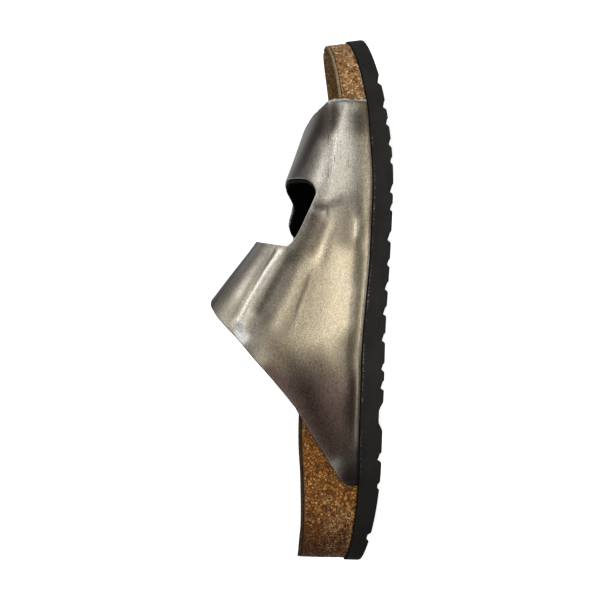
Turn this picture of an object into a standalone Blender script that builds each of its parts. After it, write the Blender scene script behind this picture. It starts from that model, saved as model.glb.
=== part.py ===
"""Double strap sandal for the left foot: lugged sole, cork footbed, lining and a buckled upper.

The part's frame has +X towards the toe, +Y towards the outer side of the foot, +Z up and the
floor at z = 0, with the origin under the middle of the sandal's box. Shapes are worked out in
millimetres, with x from the back of the heel and y from the heel's middle line. The function
placed() moves them to the part's frame and scales them to metres.
"""

import math

import bmesh
import bpy
import numpy as np
from mathutils import Matrix, Vector

MM = 0.001
MERGE = 1e-6
SHARP = math.radians(40)
GAP = 0.3
MEDIAL, LATERAL = -1, 1

# Whole sandal
LENGTH = 255.0
HEEL_ROUND = 33.0
TOE_ROUND = {MEDIAL: 36.0, LATERAL: 62.0}
ROUND_POWER = 2.2
END_BUNCHING = 0.6

# Sole: rocker under toe and heel, shallow waist arch, transverse lugs
TOE_SPRING, TOE_SPRING_FROM, TOE_SPRING_POWER = 15.0, 180.0, 1.7
TOE_LEAN, TOE_LEAN_FROM = 0.17, 222.0
HEEL_LIFT, HEEL_LIFT_FROM, HEEL_LIFT_POWER = 7.0, 50.0, 1.6
WAIST_ARCH, WAIST_FROM, WAIST_TO = 0.4, 86.0, 150.0
GROOVE_WAVE, GROOVE_WAVES = 3.0, 1.5
GROOVE_PROFILE = ((-0.5, 0.0), (-0.16, 1.0), (0.16, 1.0), (0.5, 0.0))
GROOVE_WAVE_FADE = 25.0
SOLE_EDGE_BEVEL = 0.9
HEEL_STATIONS = (0.0, SOLE_EDGE_BEVEL, 3.0, 6.0, 10.0)
TOE_STATIONS = (17.0, 11.0, 6.5, 3.0, SOLE_EDGE_BEVEL, 0.0)

# Footbed and lining
CORK_INSET = 1.0
RIM_WIDTH = 3.0
CUP_SLOPE, CUP_POWER = 17.0, 0.9
TOE_BAR, TOE_BAR_AT, TOE_BAR_SPREAD = 2.0, 205.0, 7.0
LINING = 1.2
MIDLINE_FROM, MIDLINE_TO = 34.0, 214.0
RIB_SHARES = (0.0, 0.06, 0.14, 0.26, 0.42, 0.66, 1.0)
BED_STATIONS = 27

# Upper
WALL = 2.4
OVERHANG = 1.7
SPRING_ABOVE_RIM = 3.0
WALL_SHARE = 0.30
STRAP_RISE, STRAP_SINK = 2.0, 1.2
SIDE_COLUMNS, COLUMN_PITCH = 13, 0.07
REAR_ROWS, FRONT_ROWS = 15, 8
STRAP_ROWS, STRAP_COLUMNS = 15, 5
TANGENT_X, TANGENT_OVER = 0.5, 0.004

# Buckles
FRAME_ACROSS, FRAME_ALONG, FRAME_BAR, FRAME_THICK = 24.0, 20.0, 2.8, 1.8
FRAME_CORNER, FRAME_CORNER_STEPS = 4.5, 5
PRONG_RADIUS, PRONG_TAIL = 0.8, 1.8


class Table:
    """A short table with named columns, read along its first column by a smooth curve."""

    def __init__(self, columns, rows):
        self.columns = dict(zip(columns, np.array(rows, float).T))
        self.key = self.columns[columns[0]]

    def at(self, name, x):
        """The named column at x: a cubic through the rows that doesn't overshoot between them."""
        x = np.clip(np.asarray(x, float), self.key[0], self.key[-1])
        values = self.columns[name]
        step = np.diff(self.key)
        slope = np.diff(values) / step
        before, after = slope[:-1], slope[1:]
        rising = before * after > 0
        weight_a, weight_b = 2 * step[1:] + step[:-1], step[1:] + 2 * step[:-1]
        inner = np.zeros(len(values) - 2)
        inner[rising] = (weight_a + weight_b)[rising] / (
            weight_a[rising] / before[rising] + weight_b[rising] / after[rising]
        )
        tangent = np.concatenate([slope[:1], inner, slope[-1:]])
        i = np.clip(np.searchsorted(self.key, x) - 1, 0, len(step) - 1)
        t = (x - self.key[i]) / step[i]
        return (
            values[i] * (1 + 2 * t) * (1 - t) ** 2
            + tangent[i] * step[i] * t * (1 - t) ** 2
            + values[i + 1] * t**2 * (3 - 2 * t)
            - tangent[i + 1] * step[i] * t**2 * (1 - t)
        )


# Half widths to each side of the middle line, and the sole's thickness, from heel to toe.
SOLE = Table(
    ("x", "middle_y", "medial", "lateral", "thick"),
    (
        (0, 0.0, 31.5, 31.5, 7.2),
        (25, 0.0, 32.5, 32.5, 9.1),
        (60, 0.0, 33.0, 34.0, 10.9),
        (100, -0.5, 34.0, 36.5, 11.0),
        (125, -1.3, 36.8, 40.1, 10.1),
        (150, -2.5, 40.2, 44.9, 9.5),
        (172, -3.5, 42.5, 49.0, 9.5),
        (198, -4.6, 42.5, 51.0, 9.7),
        (220, -6.0, 41.0, 50.0, 8.5),
        (255, -8.0, 38.0, 46.0, 7.4),
    ),
)

# Grooves across the sole, from heel to toe: where they notch its inner edge, their width and depth.
GROOVES = Table(
    ("x", "width", "depth"),
    (
        (16.0, 5.0, 1.4),
        (41.0, 4.0, 1.0),
        (54.5, 5.0, 2.0),
        (74.0, 15.0, 1.9),
        (88.5, 5.0, 1.9),
        (97.0, 4.5, 1.6),
        (111.0, 5.0, 2.0),
        (123.5, 5.0, 2.0),
        (135.0, 5.0, 1.7),
        (146.0, 4.0, 1.2),
        (158.0, 5.5, 2.0),
        (171.5, 4.0, 1.3),
        (180.0, 5.0, 2.0),
        (193.0, 4.0, 1.0),
        (201.0, 4.0, 1.1),
        (210.5, 4.0, 1.3),
        (218.5, 4.5, 1.6),
        (230.0, 5.0, 1.7),
    ),
)

# Heights of the footbed's rim on each side, and of its seat, above the sole's top.
FOOTBED = Table(
    ("x", "rim_medial", "rim_lateral", "seat"),
    (
        (0, 21.8, 21.2, 14.0),
        (15, 23.2, 21.0, 12.6),
        (40, 25.7, 21.2, 11.8),
        (70, 27.3, 20.4, 12.2),
        (105, 27.0, 18.5, 13.8),
        (140, 22.0, 15.5, 12.5),
        (170, 15.5, 13.5, 9.0),
        (195, 12.5, 12.0, 7.0),
        (220, 11.2, 10.6, 6.0),
        (255, 9.2, 9.2, 5.2),
    ),
)

# The instep's ridge line: where the arch of the upper has its crest.
INSTEP = Table(
    ("x", "crest_y", "crest_z"),
    (
        (41, 0.0, 125.0),
        (75, -1.0, 114.5),
        (100, -2.5, 101.5),
        (125.5, -4.0, 84.0),
        (140, -5.0, 73.8),
        (156, -6.0, 62.3),
        (170, -6.5, 55.2),
        (184, -7.5, 49.7),
        (200, -8.5, 44.3),
        (211, -9.0, 41.0),
        (220, -9.5, 39.0),
    ),
)

# Cut edges of the upper, at places over the arch: 0 inner sole edge, 1 crest, 2 outer sole edge.
CUT = Table(
    ("over", "rear_x", "front_x"),
    (
        (0.00, 41.0, 220.4),
        (0.04, 41.0, 220.4),
        (0.075, 42.4, 220.4),
        (0.113, 47.2, 220.4),
        (0.153, 53.8, 220.3),
        (0.217, 63.7, 220.2),
        (0.279, 73.4, 220.0),
        (0.348, 85.6, 219.7),
        (0.428, 96.6, 219.2),
        (0.54, 107.8, 217.5),
        (0.62, 113.0, 216.3),
        (0.73, 118.3, 214.6),
        (0.83, 122.0, 212.2),
        (1.00, 125.5, 209.0),
        (1.17, 122.2, 207.8),
        (1.27, 118.8, 207.0),
        (1.38, 113.8, 206.2),
        (1.46, 109.0, 205.6),
        (1.58, 98.5, 204.9),
        (1.66, 88.5, 204.5),
        (1.73, 77.0, 204.2),
        (1.79, 67.8, 204.0),
        (1.85, 58.6, 204.0),
        (1.89, 52.2, 204.0),
        (1.925, 47.7, 204.0),
        (1.96, 46.4, 204.0),
        (2.00, 46.3, 204.0),
    ),
)

# The cut-out between the straps: its rear and front edges, which meet at its two ends.
NOTCH = Table(
    ("over", "rear_x", "front_x"),
    (
        (0.454, 176.3, 176.3),
        (0.457, 174.9, 177.5),
        (0.466, 171.8, 178.6),
        (0.48, 166.6, 179.8),
        (0.49, 160.0, 180.4),
        (0.502, 156.0, 181.0),
        (0.513, 153.9, 181.5),
        (0.535, 152.4, 182.3),
        (0.585, 152.8, 183.6),
        (0.68, 153.7, 184.5),
        (0.80, 154.6, 185.1),
        (0.93, 155.4, 185.5),
        (1.00, 155.5, 185.0),
        (1.08, 155.2, 183.8),
        (1.18, 154.6, 182.5),
        (1.25, 153.7, 181.0),
        (1.31, 152.8, 179.0),
        (1.345, 152.5, 177.0),
        (1.356, 152.4, 174.0),
        (1.363, 152.4, 169.5),
        (1.372, 152.5, 167.0),
        (1.40, 152.7, 164.5),
        (1.435, 153.6, 161.7),
        (1.46, 155.5, 160.2),
        (1.468, 158.2, 158.2),
    ),
)

# A strap's end on the outer side, from its start to its tip: how far it has narrowed to the tip's
# half width, with the tip's round beyond 1, and its share of the full rise over the wall.
STRAP_END = Table(
    ("share", "narrowing", "rise"),
    (
        (0.00, 0.0, 0.05),
        (0.15, 0.0, 0.6),
        (0.24, 0.1, 1.0),
        (0.36, 1.0, 1.0),
        (0.90, 1.0, 1.0),
        (0.96, 1.12, 1.0),
        (1.00, 1.45, 1.0),
    ),
)

# Each strap's end: x of its middle line at its start and tip, its half widths there, where over the
# arch it starts, is buckled and stops, and how far the buckle's frame is lifted off the wall.
STRAPS = {
    "front": dict(
        x=197.0, tip_x=194.5, half=11.0, tip_half=8.2, start=1.08, buckle=1.42, tip=1.70, lift=2.1
    ),
    "rear": dict(
        x=139.5, tip_x=137.0, half=15.0, tip_half=8.6, start=1.10, buckle=1.41, tip=1.64, lift=2.9
    ),
}


def sole_bottom(x):
    """Height of the sole's running face: flat at heel and ball, with toe spring and heel lift."""
    toe = np.clip((x - TOE_SPRING_FROM) / (LENGTH - TOE_SPRING_FROM), 0, 1)
    heel = np.clip((HEEL_LIFT_FROM - x) / HEEL_LIFT_FROM, 0, 1)
    waist = np.clip((x - WAIST_FROM) / (WAIST_TO - WAIST_FROM), 0, 1)
    return (
        TOE_SPRING * toe**TOE_SPRING_POWER
        + HEEL_LIFT * heel**HEEL_LIFT_POWER
        + WAIST_ARCH * np.sin(math.pi * waist) ** 2
    )


def sole_top(x):
    return sole_bottom(x) + SOLE.at("thick", x)


def rounded(share):
    """Quarter of a superellipse: 0 at the end of the outline, 1 where its round stretch stops."""
    left = 1 - np.clip(share, 0, 1)
    return (1 - left**ROUND_POWER) ** (1 / ROUND_POWER)


def edge(x, side, inset=0.0):
    """y of the sole's outline on one side at x, drawn in by inset."""
    heel = rounded((x - inset) / (HEEL_ROUND - inset))
    toe = rounded((LENGTH - inset - x) / (TOE_ROUND[side] - inset))
    half = SOLE.at("medial" if side == MEDIAL else "lateral", x) - inset
    return SOLE.at("middle_y", x) + side * half * heel * toe


def end_stations(inset, count):
    """x stations from heel to toe, closer together towards both round ends."""
    turn = np.linspace(0, math.pi, count)
    bunched = (1 - np.cos(turn)) / 2
    even = turn / math.pi
    share = END_BUNCHING * bunched + (1 - END_BUNCHING) * even
    return inset + (LENGTH - 2 * inset) * share


def box_middle_y():
    """Middle of the sandal's width at the ball, from the upper's inner side to its outer strap end."""
    x = np.linspace(0, LENGTH, 500)
    inner = edge(x, MEDIAL, -OVERHANG).min()
    outer = edge(x, LATERAL, -OVERHANG).max() + STRAP_RISE
    return (inner + outer) / 2


ORIGIN = np.array([LENGTH / 2, box_middle_y(), 0.0])


def placed(points):
    """Millimetres from the heel to metres in the part's frame, with the toe's end leaning back."""
    points = np.array(points, float)
    x, z = points[..., 0], points[..., 2]
    toe = np.clip((x - TOE_LEAN_FROM) / (LENGTH - TOE_LEAN_FROM), 0, 1)
    points[..., 0] = x - TOE_LEAN * toe**2 * (z - sole_bottom(x))
    return (points - ORIGIN) * MM


def mesh_object(name, points, faces, collection):
    """An object from points in millimetres and faces, with doubled points made one."""
    mesh = bpy.data.meshes.new(name)
    mesh.from_pydata(placed(points).tolist(), [], faces)
    shape = bmesh.new()
    shape.from_mesh(mesh)
    bmesh.ops.remove_doubles(shape, verts=shape.verts, dist=MERGE)
    bmesh.ops.recalc_face_normals(shape, faces=shape.faces)
    shape.to_mesh(mesh)
    shape.free()
    mesh.shade_smooth()
    mesh.set_sharp_from_angle(angle=SHARP)
    obj = bpy.data.objects.new(name, mesh)
    collection.objects.link(obj)
    return obj


def strip_faces(rows, columns, closed):
    """Quads of a grid stored row after row; closed joins the last column to the first."""
    last = columns if closed else columns - 1
    faces = []
    for row in range(rows - 1):
        for column in range(last):
            a = row * columns + column
            b = row * columns + (column + 1) % columns
            faces.append((a, b, b + columns, a + columns))
    return faces


def short_split(points, quads):
    """Each quad as two triangles along its shorter diagonal, so that stacked layers match."""
    triangles = []
    for a, b, c, d in quads:
        if np.linalg.norm(points[a] - points[c]) < np.linalg.norm(points[b] - points[d]):
            triangles += [(a, b, c), (a, c, d)]
        else:
            triangles += [(a, b, d), (b, c, d)]
    return triangles


def loft(name, rings, collection):
    """A solid through closed rings of points, whose first and last rings close on themselves."""
    rings = np.asarray(rings, float)
    points = rings.reshape(-1, 3)
    quads = strip_faces(rings.shape[0], rings.shape[1], closed=True)
    return mesh_object(name, points, short_split(points, quads), collection)


def material(name, colour, roughness, metallic=0.0):
    made = bpy.data.materials.new(name)
    made.use_nodes = True
    shader = made.node_tree.nodes["Principled BSDF"]
    shader.inputs["Base Color"].default_value = (*colour, 1.0)
    shader.inputs["Roughness"].default_value = roughness
    shader.inputs["Metallic"].default_value = metallic
    return made


def lug_stations():
    """x stations of the sole at its inner edge, and how deep a groove is cut at each."""
    stations = [(x, 0.0) for x in HEEL_STATIONS]
    for x, width, depth in zip(*GROOVES.columns.values()):
        stations += [(x + offset * width, share * depth) for offset, share in GROOVE_PROFILE]
    stations += [(LENGTH - back, 0.0) for back in TOE_STATIONS]
    return np.array(stations).T


def outsole(collection):
    """Sole with a rocker bottom. Wavy grooves cross it and notch its side edges."""
    stations, depths = lug_stations()
    across = np.linspace(-1, 1, 7)
    rings = []
    for x, depth in zip(stations, depths):
        end_fade = min(1.0, x / GROOVE_WAVE_FADE, (LENGTH - x) / GROOVE_WAVE_FADE)
        wave = GROOVE_WAVE * end_fade * (np.sin(GROOVE_WAVES * math.pi * across) - 1)
        along = np.clip(x + wave, 0, LENGTH)
        medial, lateral = edge(along, MEDIAL), edge(along, LATERAL)
        middle, half = (medial + lateral) / 2, (lateral - medial) / 2
        inner_half = np.maximum(half - SOLE_EDGE_BEVEL, 0)
        low = sole_bottom(along) + depth
        top = sole_top(along)
        bottom = np.stack([along, middle + across * inner_half, low], -1)
        outer = bottom[-1] + [0, half[-1] - inner_half[-1], SOLE_EDGE_BEVEL]
        inner = bottom[0] + [0, inner_half[0] - half[0], SOLE_EDGE_BEVEL]
        over = np.stack([along, middle + across * half, top], -1)[::-3]
        rings.append(np.concatenate([bottom, [outer], over, [inner]]))
    return loft("outsole", rings, collection)


def outline(inset, count):
    """Closed outline of the footbed: stations along the medial side, then back along the lateral."""
    x = end_stations(inset, count)
    medial = np.stack([x, edge(x, MEDIAL, inset)], -1)
    lateral = np.stack([x, edge(x, LATERAL, inset)], -1)
    return np.concatenate([medial, lateral[-2:0:-1]])


def midline(points):
    """Where each outline point's rib meets the middle line of the foot."""
    share = points[:, 0] / LENGTH
    x = MIDLINE_FROM + share * (MIDLINE_TO - MIDLINE_FROM)
    y = (edge(x, MEDIAL) + edge(x, LATERAL)) / 2
    return np.stack([x, y], -1)


def bed_height(points, edge_points):
    """Top of the cork: seat, cup and arch rising to the rim, and a low bar under the toes."""
    x, y = points[:, 0], points[:, 1]
    medial, lateral = edge(x, MEDIAL, CORK_INSET), edge(x, LATERAL, CORK_INSET)
    share = np.clip((y - medial) / np.maximum(lateral - medial, 1e-6), 0, 1)
    mix = share**2 * (3 - 2 * share)
    rim = (1 - mix) * FOOTBED.at("rim_medial", x) + mix * FOOTBED.at("rim_lateral", x)
    apart = np.linalg.norm(points[:, None, :] - edge_points[None, :, :], axis=2).min(1)
    down = np.clip((apart - RIM_WIDTH) / CUP_SLOPE, 0, 1)
    bar = TOE_BAR * np.exp(-(((x - TOE_BAR_AT) / TOE_BAR_SPREAD) ** 2))
    seat = FOOTBED.at("seat", x) + bar * down
    return sole_top(x) + rim + (seat - rim) * np.sin(down * math.pi / 2) ** CUP_POWER


def bed_ribs():
    """Rings of plan points from the outline in to the middle line, with the cork's height at each."""
    border = outline(CORK_INSET, BED_STATIONS)
    centre = midline(border)
    fine = outline(CORK_INSET, 4 * BED_STATIONS)
    rings = [border + (centre - border) * share for share in RIB_SHARES]
    return [(ring, bed_height(ring, fine)) for ring in rings]


def with_height(ring, z):
    return np.column_stack([ring, np.broadcast_to(z, len(ring))])


def footbed(collection):
    """Cork block: flat underside on the sole, upright side, rim, heel cup and arch."""
    ribs = bed_ribs()
    border, centre = ribs[0][0], ribs[-1][0]
    under = [with_height(ring, sole_top(ring[:, 0]) + GAP) for ring in (centre, border)]
    over = [with_height(ring, z) for ring, z in ribs]
    return loft("footbed", under + over, collection)


def insole(collection):
    """Lining over the whole top of the footbed, out to the rim's edge."""
    ribs = bed_ribs()
    under = [with_height(ring, z + GAP) for ring, z in ribs]
    over = [with_height(ring, z + GAP + LINING) for ring, z in ribs]
    return loft("insole", under[::-1] + over, collection)


def upper_face(x, over):
    """Outer face of the upper: upright walls beside the footbed, then an elliptic arch to the crest."""
    x, over = np.broadcast_arrays(np.asarray(x, float), np.asarray(over, float))
    inner = over <= 1
    climb = np.where(inner, over, 2 - over)
    base = sole_top(x) + GAP
    foot_y = np.where(inner, edge(x, MEDIAL, -OVERHANG), edge(x, LATERAL, -OVERHANG))
    rim = np.where(inner, FOOTBED.at("rim_medial", x), FOOTBED.at("rim_lateral", x))
    spring = base + rim + SPRING_ABOVE_RIM
    crest_y, crest_z = INSTEP.at("crest_y", x), INSTEP.at("crest_z", x)
    wall = np.clip(climb / WALL_SHARE, 0, 1)
    turn = np.clip((climb - WALL_SHARE) / (1 - WALL_SHARE), 0, 1) * math.pi / 2
    y = crest_y + (foot_y - crest_y) * np.cos(turn)
    z = base + (spring - base) * wall + (crest_z - spring) * np.sin(turn)
    return np.stack([x, y, z], -1)


def upper_frame(x, over):
    """Point, lengthwise and downward tangents, and outward normal of the upper's outer face."""
    point = upper_face(x, over)
    lengthwise = upper_face(x + TANGENT_X, over) - upper_face(x - TANGENT_X, over)
    downward = upper_face(x, over + TANGENT_OVER) - upper_face(x, over - TANGENT_OVER)
    normal = np.cross(lengthwise, downward)
    normal = normal / np.linalg.norm(normal, axis=-1, keepdims=True)
    downward = downward / np.linalg.norm(downward, axis=-1, keepdims=True)
    return point, np.cross(downward, normal), downward, normal


def upper_columns():
    """Places over the arch: the cut-out's own rows, more where they are far apart, and the sides."""
    rows = NOTCH.key
    spans = [
        np.linspace(low, high, math.ceil((high - low) / COLUMN_PITCH) + 1)[:-1]
        for low, high in zip(rows[:-1], rows[1:])
    ]
    sides = np.linspace(0, rows[0], SIDE_COLUMNS)[:-1], np.linspace(rows[-1], 2, SIDE_COLUMNS)
    return np.concatenate([sides[0], *spans, sides[1]])


def strap_middle(strap, share):
    """x and place over the arch of a strap end's middle line, at a share of its length."""
    x = strap["x"] + share * (strap["tip_x"] - strap["x"])
    return x, strap["start"] + share * (strap["tip"] - strap["start"])


def strap_end(name, strap, collection):
    """The loose end of a strap, lying on the outer side: shoulders, then a narrow tip."""
    share = np.linspace(0, 1, STRAP_ROWS)
    across = np.linspace(-1, 1, STRAP_COLUMNS)
    middle, over = strap_middle(strap, share)
    narrow = STRAP_END.at("narrowing", share)
    half = strap["half"] + np.minimum(narrow, 1) * (strap["tip_half"] - strap["half"])
    half = half * np.clip(2 - np.maximum(narrow, 1), 0, 1)
    x = middle[:, None] + across[None, :] * half[:, None]
    point, _, _, normal = upper_frame(x, np.broadcast_to(over[:, None], x.shape))
    top = point + normal * STRAP_RISE * STRAP_END.at("rise", share)[:, None, None]
    low = point - normal * STRAP_SINK
    rings = np.concatenate([top, low[:, ::-1]], axis=1)
    count = rings.shape[1]
    faces = strip_faces(len(share), count, closed=True)
    last = (len(share) - 1) * count
    for i in range(count // 2 - 1):
        faces.append((i, count - 1 - i, count - 2 - i, i + 1))
        faces.append((last + i, last + i + 1, last + count - 2 - i, last + count - 1 - i))
    return mesh_object(name, rings.reshape(-1, 3), faces, collection)


def upper(collection, helpers):
    """Both straps in one wall: two strips that meet below the cut-out on each side of the foot."""
    over = upper_columns()
    strips = (
        (CUT.at("rear_x", over), NOTCH.at("rear_x", over), REAR_ROWS),
        (NOTCH.at("front_x", over), CUT.at("front_x", over), FRONT_ROWS),
    )
    points, faces = [], []
    for start, stop, count in strips:
        share = np.linspace(0, 1, count)[:, None]
        x = start + (stop - start) * share
        first = sum(len(p) for p in points)
        points.append(upper_face(x, np.broadcast_to(over, x.shape)).reshape(-1, 3))
        for quad in strip_faces(count, len(over), closed=False):
            faces.append(tuple(first + i for i in quad))
    obj = mesh_object("upper", np.concatenate(points), faces, collection)
    wall = obj.modifiers.new("wall", "SOLIDIFY")
    wall.thickness = WALL * MM
    wall.offset = -1
    wall.use_even_offset = True
    for side, strap in STRAPS.items():
        end = strap_end(side + "_strap_end", strap, helpers)
        end.hide_render = True
        end.display_type = "WIRE"
        join = obj.modifiers.new(side + "_strap_end", "BOOLEAN")
        join.operation = "UNION"
        join.object = end
    return obj


def buckle_matrix(strap):
    """Frame of a buckle: local x towards the heel, local y up the strap, local z off the upper."""
    share = (strap["buckle"] - strap["start"]) / (strap["tip"] - strap["start"])
    point, lengthwise, downward, normal = upper_frame(*strap_middle(strap, share))
    matrix = Matrix.Identity(4)
    for column, axis in enumerate((-lengthwise, -downward, normal)):
        matrix.col[column].xyz = Vector(axis)
    matrix.translation = Vector(placed(point))
    return matrix


def rounded_box(across, along, corner):
    """Points of a box with round corners, about the origin."""
    points = []
    for quarter in range(4):
        for step in range(FRAME_CORNER_STEPS + 1):
            turn = math.radians(90 * (quarter + step / FRAME_CORNER_STEPS))
            sign_x = 1 if quarter in (0, 3) else -1
            sign_y = 1 if quarter in (0, 1) else -1
            points.append(
                (
                    sign_x * (across / 2 - corner) + corner * math.cos(turn),
                    sign_y * (along / 2 - corner) + corner * math.sin(turn),
                    0.0,
                )
            )
    return points


def spline(curve, points, cyclic):
    line = curve.splines.new("POLY")
    line.points.add(len(points) - 1)
    for target, point in zip(line.points, points):
        target.co = (*(value * MM for value in point), 1.0)
    line.use_cyclic_u = cyclic


def buckle_frame(name, strap, collection):
    """Stamped frame with round corners, lying over the strap's narrow end."""
    curve = bpy.data.curves.new(name, "CURVE")
    curve.dimensions = "2D"
    curve.fill_mode = "BOTH"
    curve.extrude = FRAME_THICK / 2 * MM
    spline(curve, rounded_box(FRAME_ACROSS, FRAME_ALONG, FRAME_CORNER), cyclic=True)
    hole = rounded_box(
        FRAME_ACROSS - 2 * FRAME_BAR, FRAME_ALONG - 2 * FRAME_BAR, FRAME_CORNER - FRAME_BAR
    )
    spline(curve, hole, cyclic=True)
    obj = bpy.data.objects.new(name, curve)
    collection.objects.link(obj)
    lift = Matrix.Translation((0, 0, (strap["lift"] + FRAME_THICK / 2) * MM))
    obj.matrix_world = buckle_matrix(strap) @ lift
    return obj


def buckle_prong(name, strap, collection):
    """Pin that comes up through the strap and lies on the frame's upper bar."""
    low = STRAP_RISE + GAP + PRONG_RADIUS
    high = strap["lift"] + FRAME_THICK + GAP + PRONG_RADIUS
    bar = (FRAME_ALONG - FRAME_BAR) / 2
    route = (
        (0, -PRONG_TAIL, low),
        (0, PRONG_TAIL, low + 0.1),
        (0, bar - 2.6, high - 0.35),
        (0, bar - 0.8, high),
        (0, bar + 2.0, high - 0.1),
    )
    curve = bpy.data.curves.new(name, "CURVE")
    curve.dimensions = "3D"
    curve.bevel_depth = PRONG_RADIUS * MM
    curve.bevel_resolution = 2
    curve.use_fill_caps = True
    spline(curve, route, cyclic=False)
    obj = bpy.data.objects.new(name, curve)
    collection.objects.link(obj)
    obj.matrix_world = buckle_matrix(strap)
    return obj


def main():
    for obj in list(bpy.data.objects):
        bpy.data.objects.remove(obj)
    parts = bpy.data.collections.new("double_strap_sandal")
    helpers = bpy.data.collections.new("helpers")
    for collection in (parts, helpers):
        bpy.context.scene.collection.children.link(collection)

    rubber = material("sole_foam", (0.028, 0.027, 0.026), 0.75)
    cork = material("cork", (0.33, 0.17, 0.065), 0.85)
    suede = material("suede_lining", (0.20, 0.11, 0.05), 0.95)
    leather = material("metallic_leather", (0.36, 0.33, 0.30), 0.38, metallic=0.75)
    metal = material("buckle_metal", (0.30, 0.29, 0.28), 0.3, metallic=1.0)

    made = [
        (outsole(parts), rubber),
        (footbed(parts), cork),
        (insole(parts), suede),
        (upper(parts, helpers), leather),
    ]
    for side, strap in STRAPS.items():
        made.append((buckle_frame(side + "_buckle_frame", strap, parts), metal))
        made.append((buckle_prong(side + "_buckle_prong", strap, parts), metal))

    root = bpy.data.objects.new("sandal", None)
    parts.objects.link(root)
    for obj, finish in made:
        obj.data.materials.append(finish)
        obj.parent = root


main()
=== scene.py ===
"""Looks of the double strap sandal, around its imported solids.

The frame has +X towards the toe, +Y towards the outer side of the foot, +Z up and the floor at z = 0.
Shapes are worked out in millimetres, with x from the back of the heel and y from the heel's middle
line, and placed() moves them to the frame in metres. The photograph looks at the inner side, -Y.
"""

import math

import bmesh
import bpy
import numpy as np
from mathutils import Matrix, Vector

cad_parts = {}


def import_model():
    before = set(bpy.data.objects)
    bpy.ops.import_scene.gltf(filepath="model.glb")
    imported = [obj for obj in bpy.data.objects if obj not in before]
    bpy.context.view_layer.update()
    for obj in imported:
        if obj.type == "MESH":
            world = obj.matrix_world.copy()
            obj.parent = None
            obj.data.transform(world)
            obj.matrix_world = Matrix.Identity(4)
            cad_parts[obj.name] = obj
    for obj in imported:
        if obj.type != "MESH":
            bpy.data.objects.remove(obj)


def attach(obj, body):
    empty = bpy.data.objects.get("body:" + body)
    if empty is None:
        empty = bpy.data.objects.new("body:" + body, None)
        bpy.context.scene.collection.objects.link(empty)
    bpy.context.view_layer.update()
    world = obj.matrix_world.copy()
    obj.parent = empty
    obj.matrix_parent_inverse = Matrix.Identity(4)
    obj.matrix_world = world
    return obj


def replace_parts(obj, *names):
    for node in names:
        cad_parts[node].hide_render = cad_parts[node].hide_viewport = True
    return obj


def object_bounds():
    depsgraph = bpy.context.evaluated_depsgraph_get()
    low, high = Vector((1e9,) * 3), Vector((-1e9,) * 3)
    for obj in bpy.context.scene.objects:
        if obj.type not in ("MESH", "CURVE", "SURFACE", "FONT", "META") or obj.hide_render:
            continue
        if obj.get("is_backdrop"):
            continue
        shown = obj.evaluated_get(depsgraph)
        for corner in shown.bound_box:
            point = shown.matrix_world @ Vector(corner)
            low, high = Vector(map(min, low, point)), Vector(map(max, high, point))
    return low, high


MM = 0.001
MERGE = 1e-6
FAR, TINY = 1e9, 1e-6
LATTICE = 32
GAP = 0.3
MEDIAL, LATERAL = -1, 1
BODY = "root"

# Lengths are in millimetres. A pair for smooth() is where a share leaves 0 and where it reaches 1.

# Whole sandal
LENGTH = 255.0
HEEL_ROUND = 33.0
TOE_ROUND = {MEDIAL: 36.0, LATERAL: 62.0}
ROUND_POWER = 2.2
END_BUNCHING = 0.6
WIDTH_STEPS = 500

# Sole
TOE_SPRING, TOE_SPRING_FROM, TOE_SPRING_POWER = 15.0, 180.0, 1.7
TOE_LEAN, TOE_LEAN_FROM = 0.17, 222.0
HEEL_LIFT, HEEL_LIFT_FROM, HEEL_LIFT_POWER = 7.0, 50.0, 1.6
WAIST_ARCH, WAIST_FROM, WAIST_TO = 0.4, 86.0, 150.0
GROOVE_WAVE, GROOVE_WAVES, GROOVE_WAVE_FADE = 3.0, 1.5, 25.0
GROOVE_FLAT = 0.32
SOLE_EDGE_BEVEL = 0.9
SOLE_STATIONS, SOLE_ACROSS, SOLE_SIDE_ROWS, SOLE_TOP_COLUMNS = 420, 64, 12, 9
SOLE_HEEL_DARKER = (100.0, 15.0)
DUST_BEGINS, DUST_ENDS = (38.0, 60.0), (210.0, 198.0)

# Footbed and its lining
CORK_INSET = 1.0
RIM_WIDTH = 3.0
CUP_SLOPE, CUP_POWER = 17.0, 0.9
TOE_BAR, TOE_BAR_AT, TOE_BAR_SPREAD = 2.0, 205.0, 7.0
LINING = 1.2
MIDLINE_FROM, MIDLINE_TO = 34.0, 214.0
BED_STATIONS, CORK_SIDE_ROWS, RIM_STATIONS = 330, 30, 110
BED_RIBS, RIB_BUNCHING = 34, 1.6
CORK_TOP_SHARES, CORK_TOP_CLEAR = np.array([0.0, 0.03, 0.08, 0.15, 0.25, 0.4, 0.6, 1.0]), 0.7
CORK_GRAIN, CORK_PIT, CORK_PIT_DEPTH = 2.4, (0.45, 1.0), 0.22
CORK_LUMP, CORK_LUMP_HEIGHT, CORK_SWELL = 9.0, 0.12, 0.1
RUBBED_BEGINS, RUBBED_ENDS, RUBBED_BELOW_RIM = (3.0, 9.0), (36.0, 24.0), (8.0, 14.0)
NAP_SIZE, NAP_HEIGHT, DENT_SIZE, DENT_HEIGHT, DENT_EDGE = 6.0, 0.12, 23.0, 0.25, (2.0, 8.0)
TOE_PALER, HEEL_DARKER = (190.0, 225.0), (40.0, 6.0)

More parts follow.
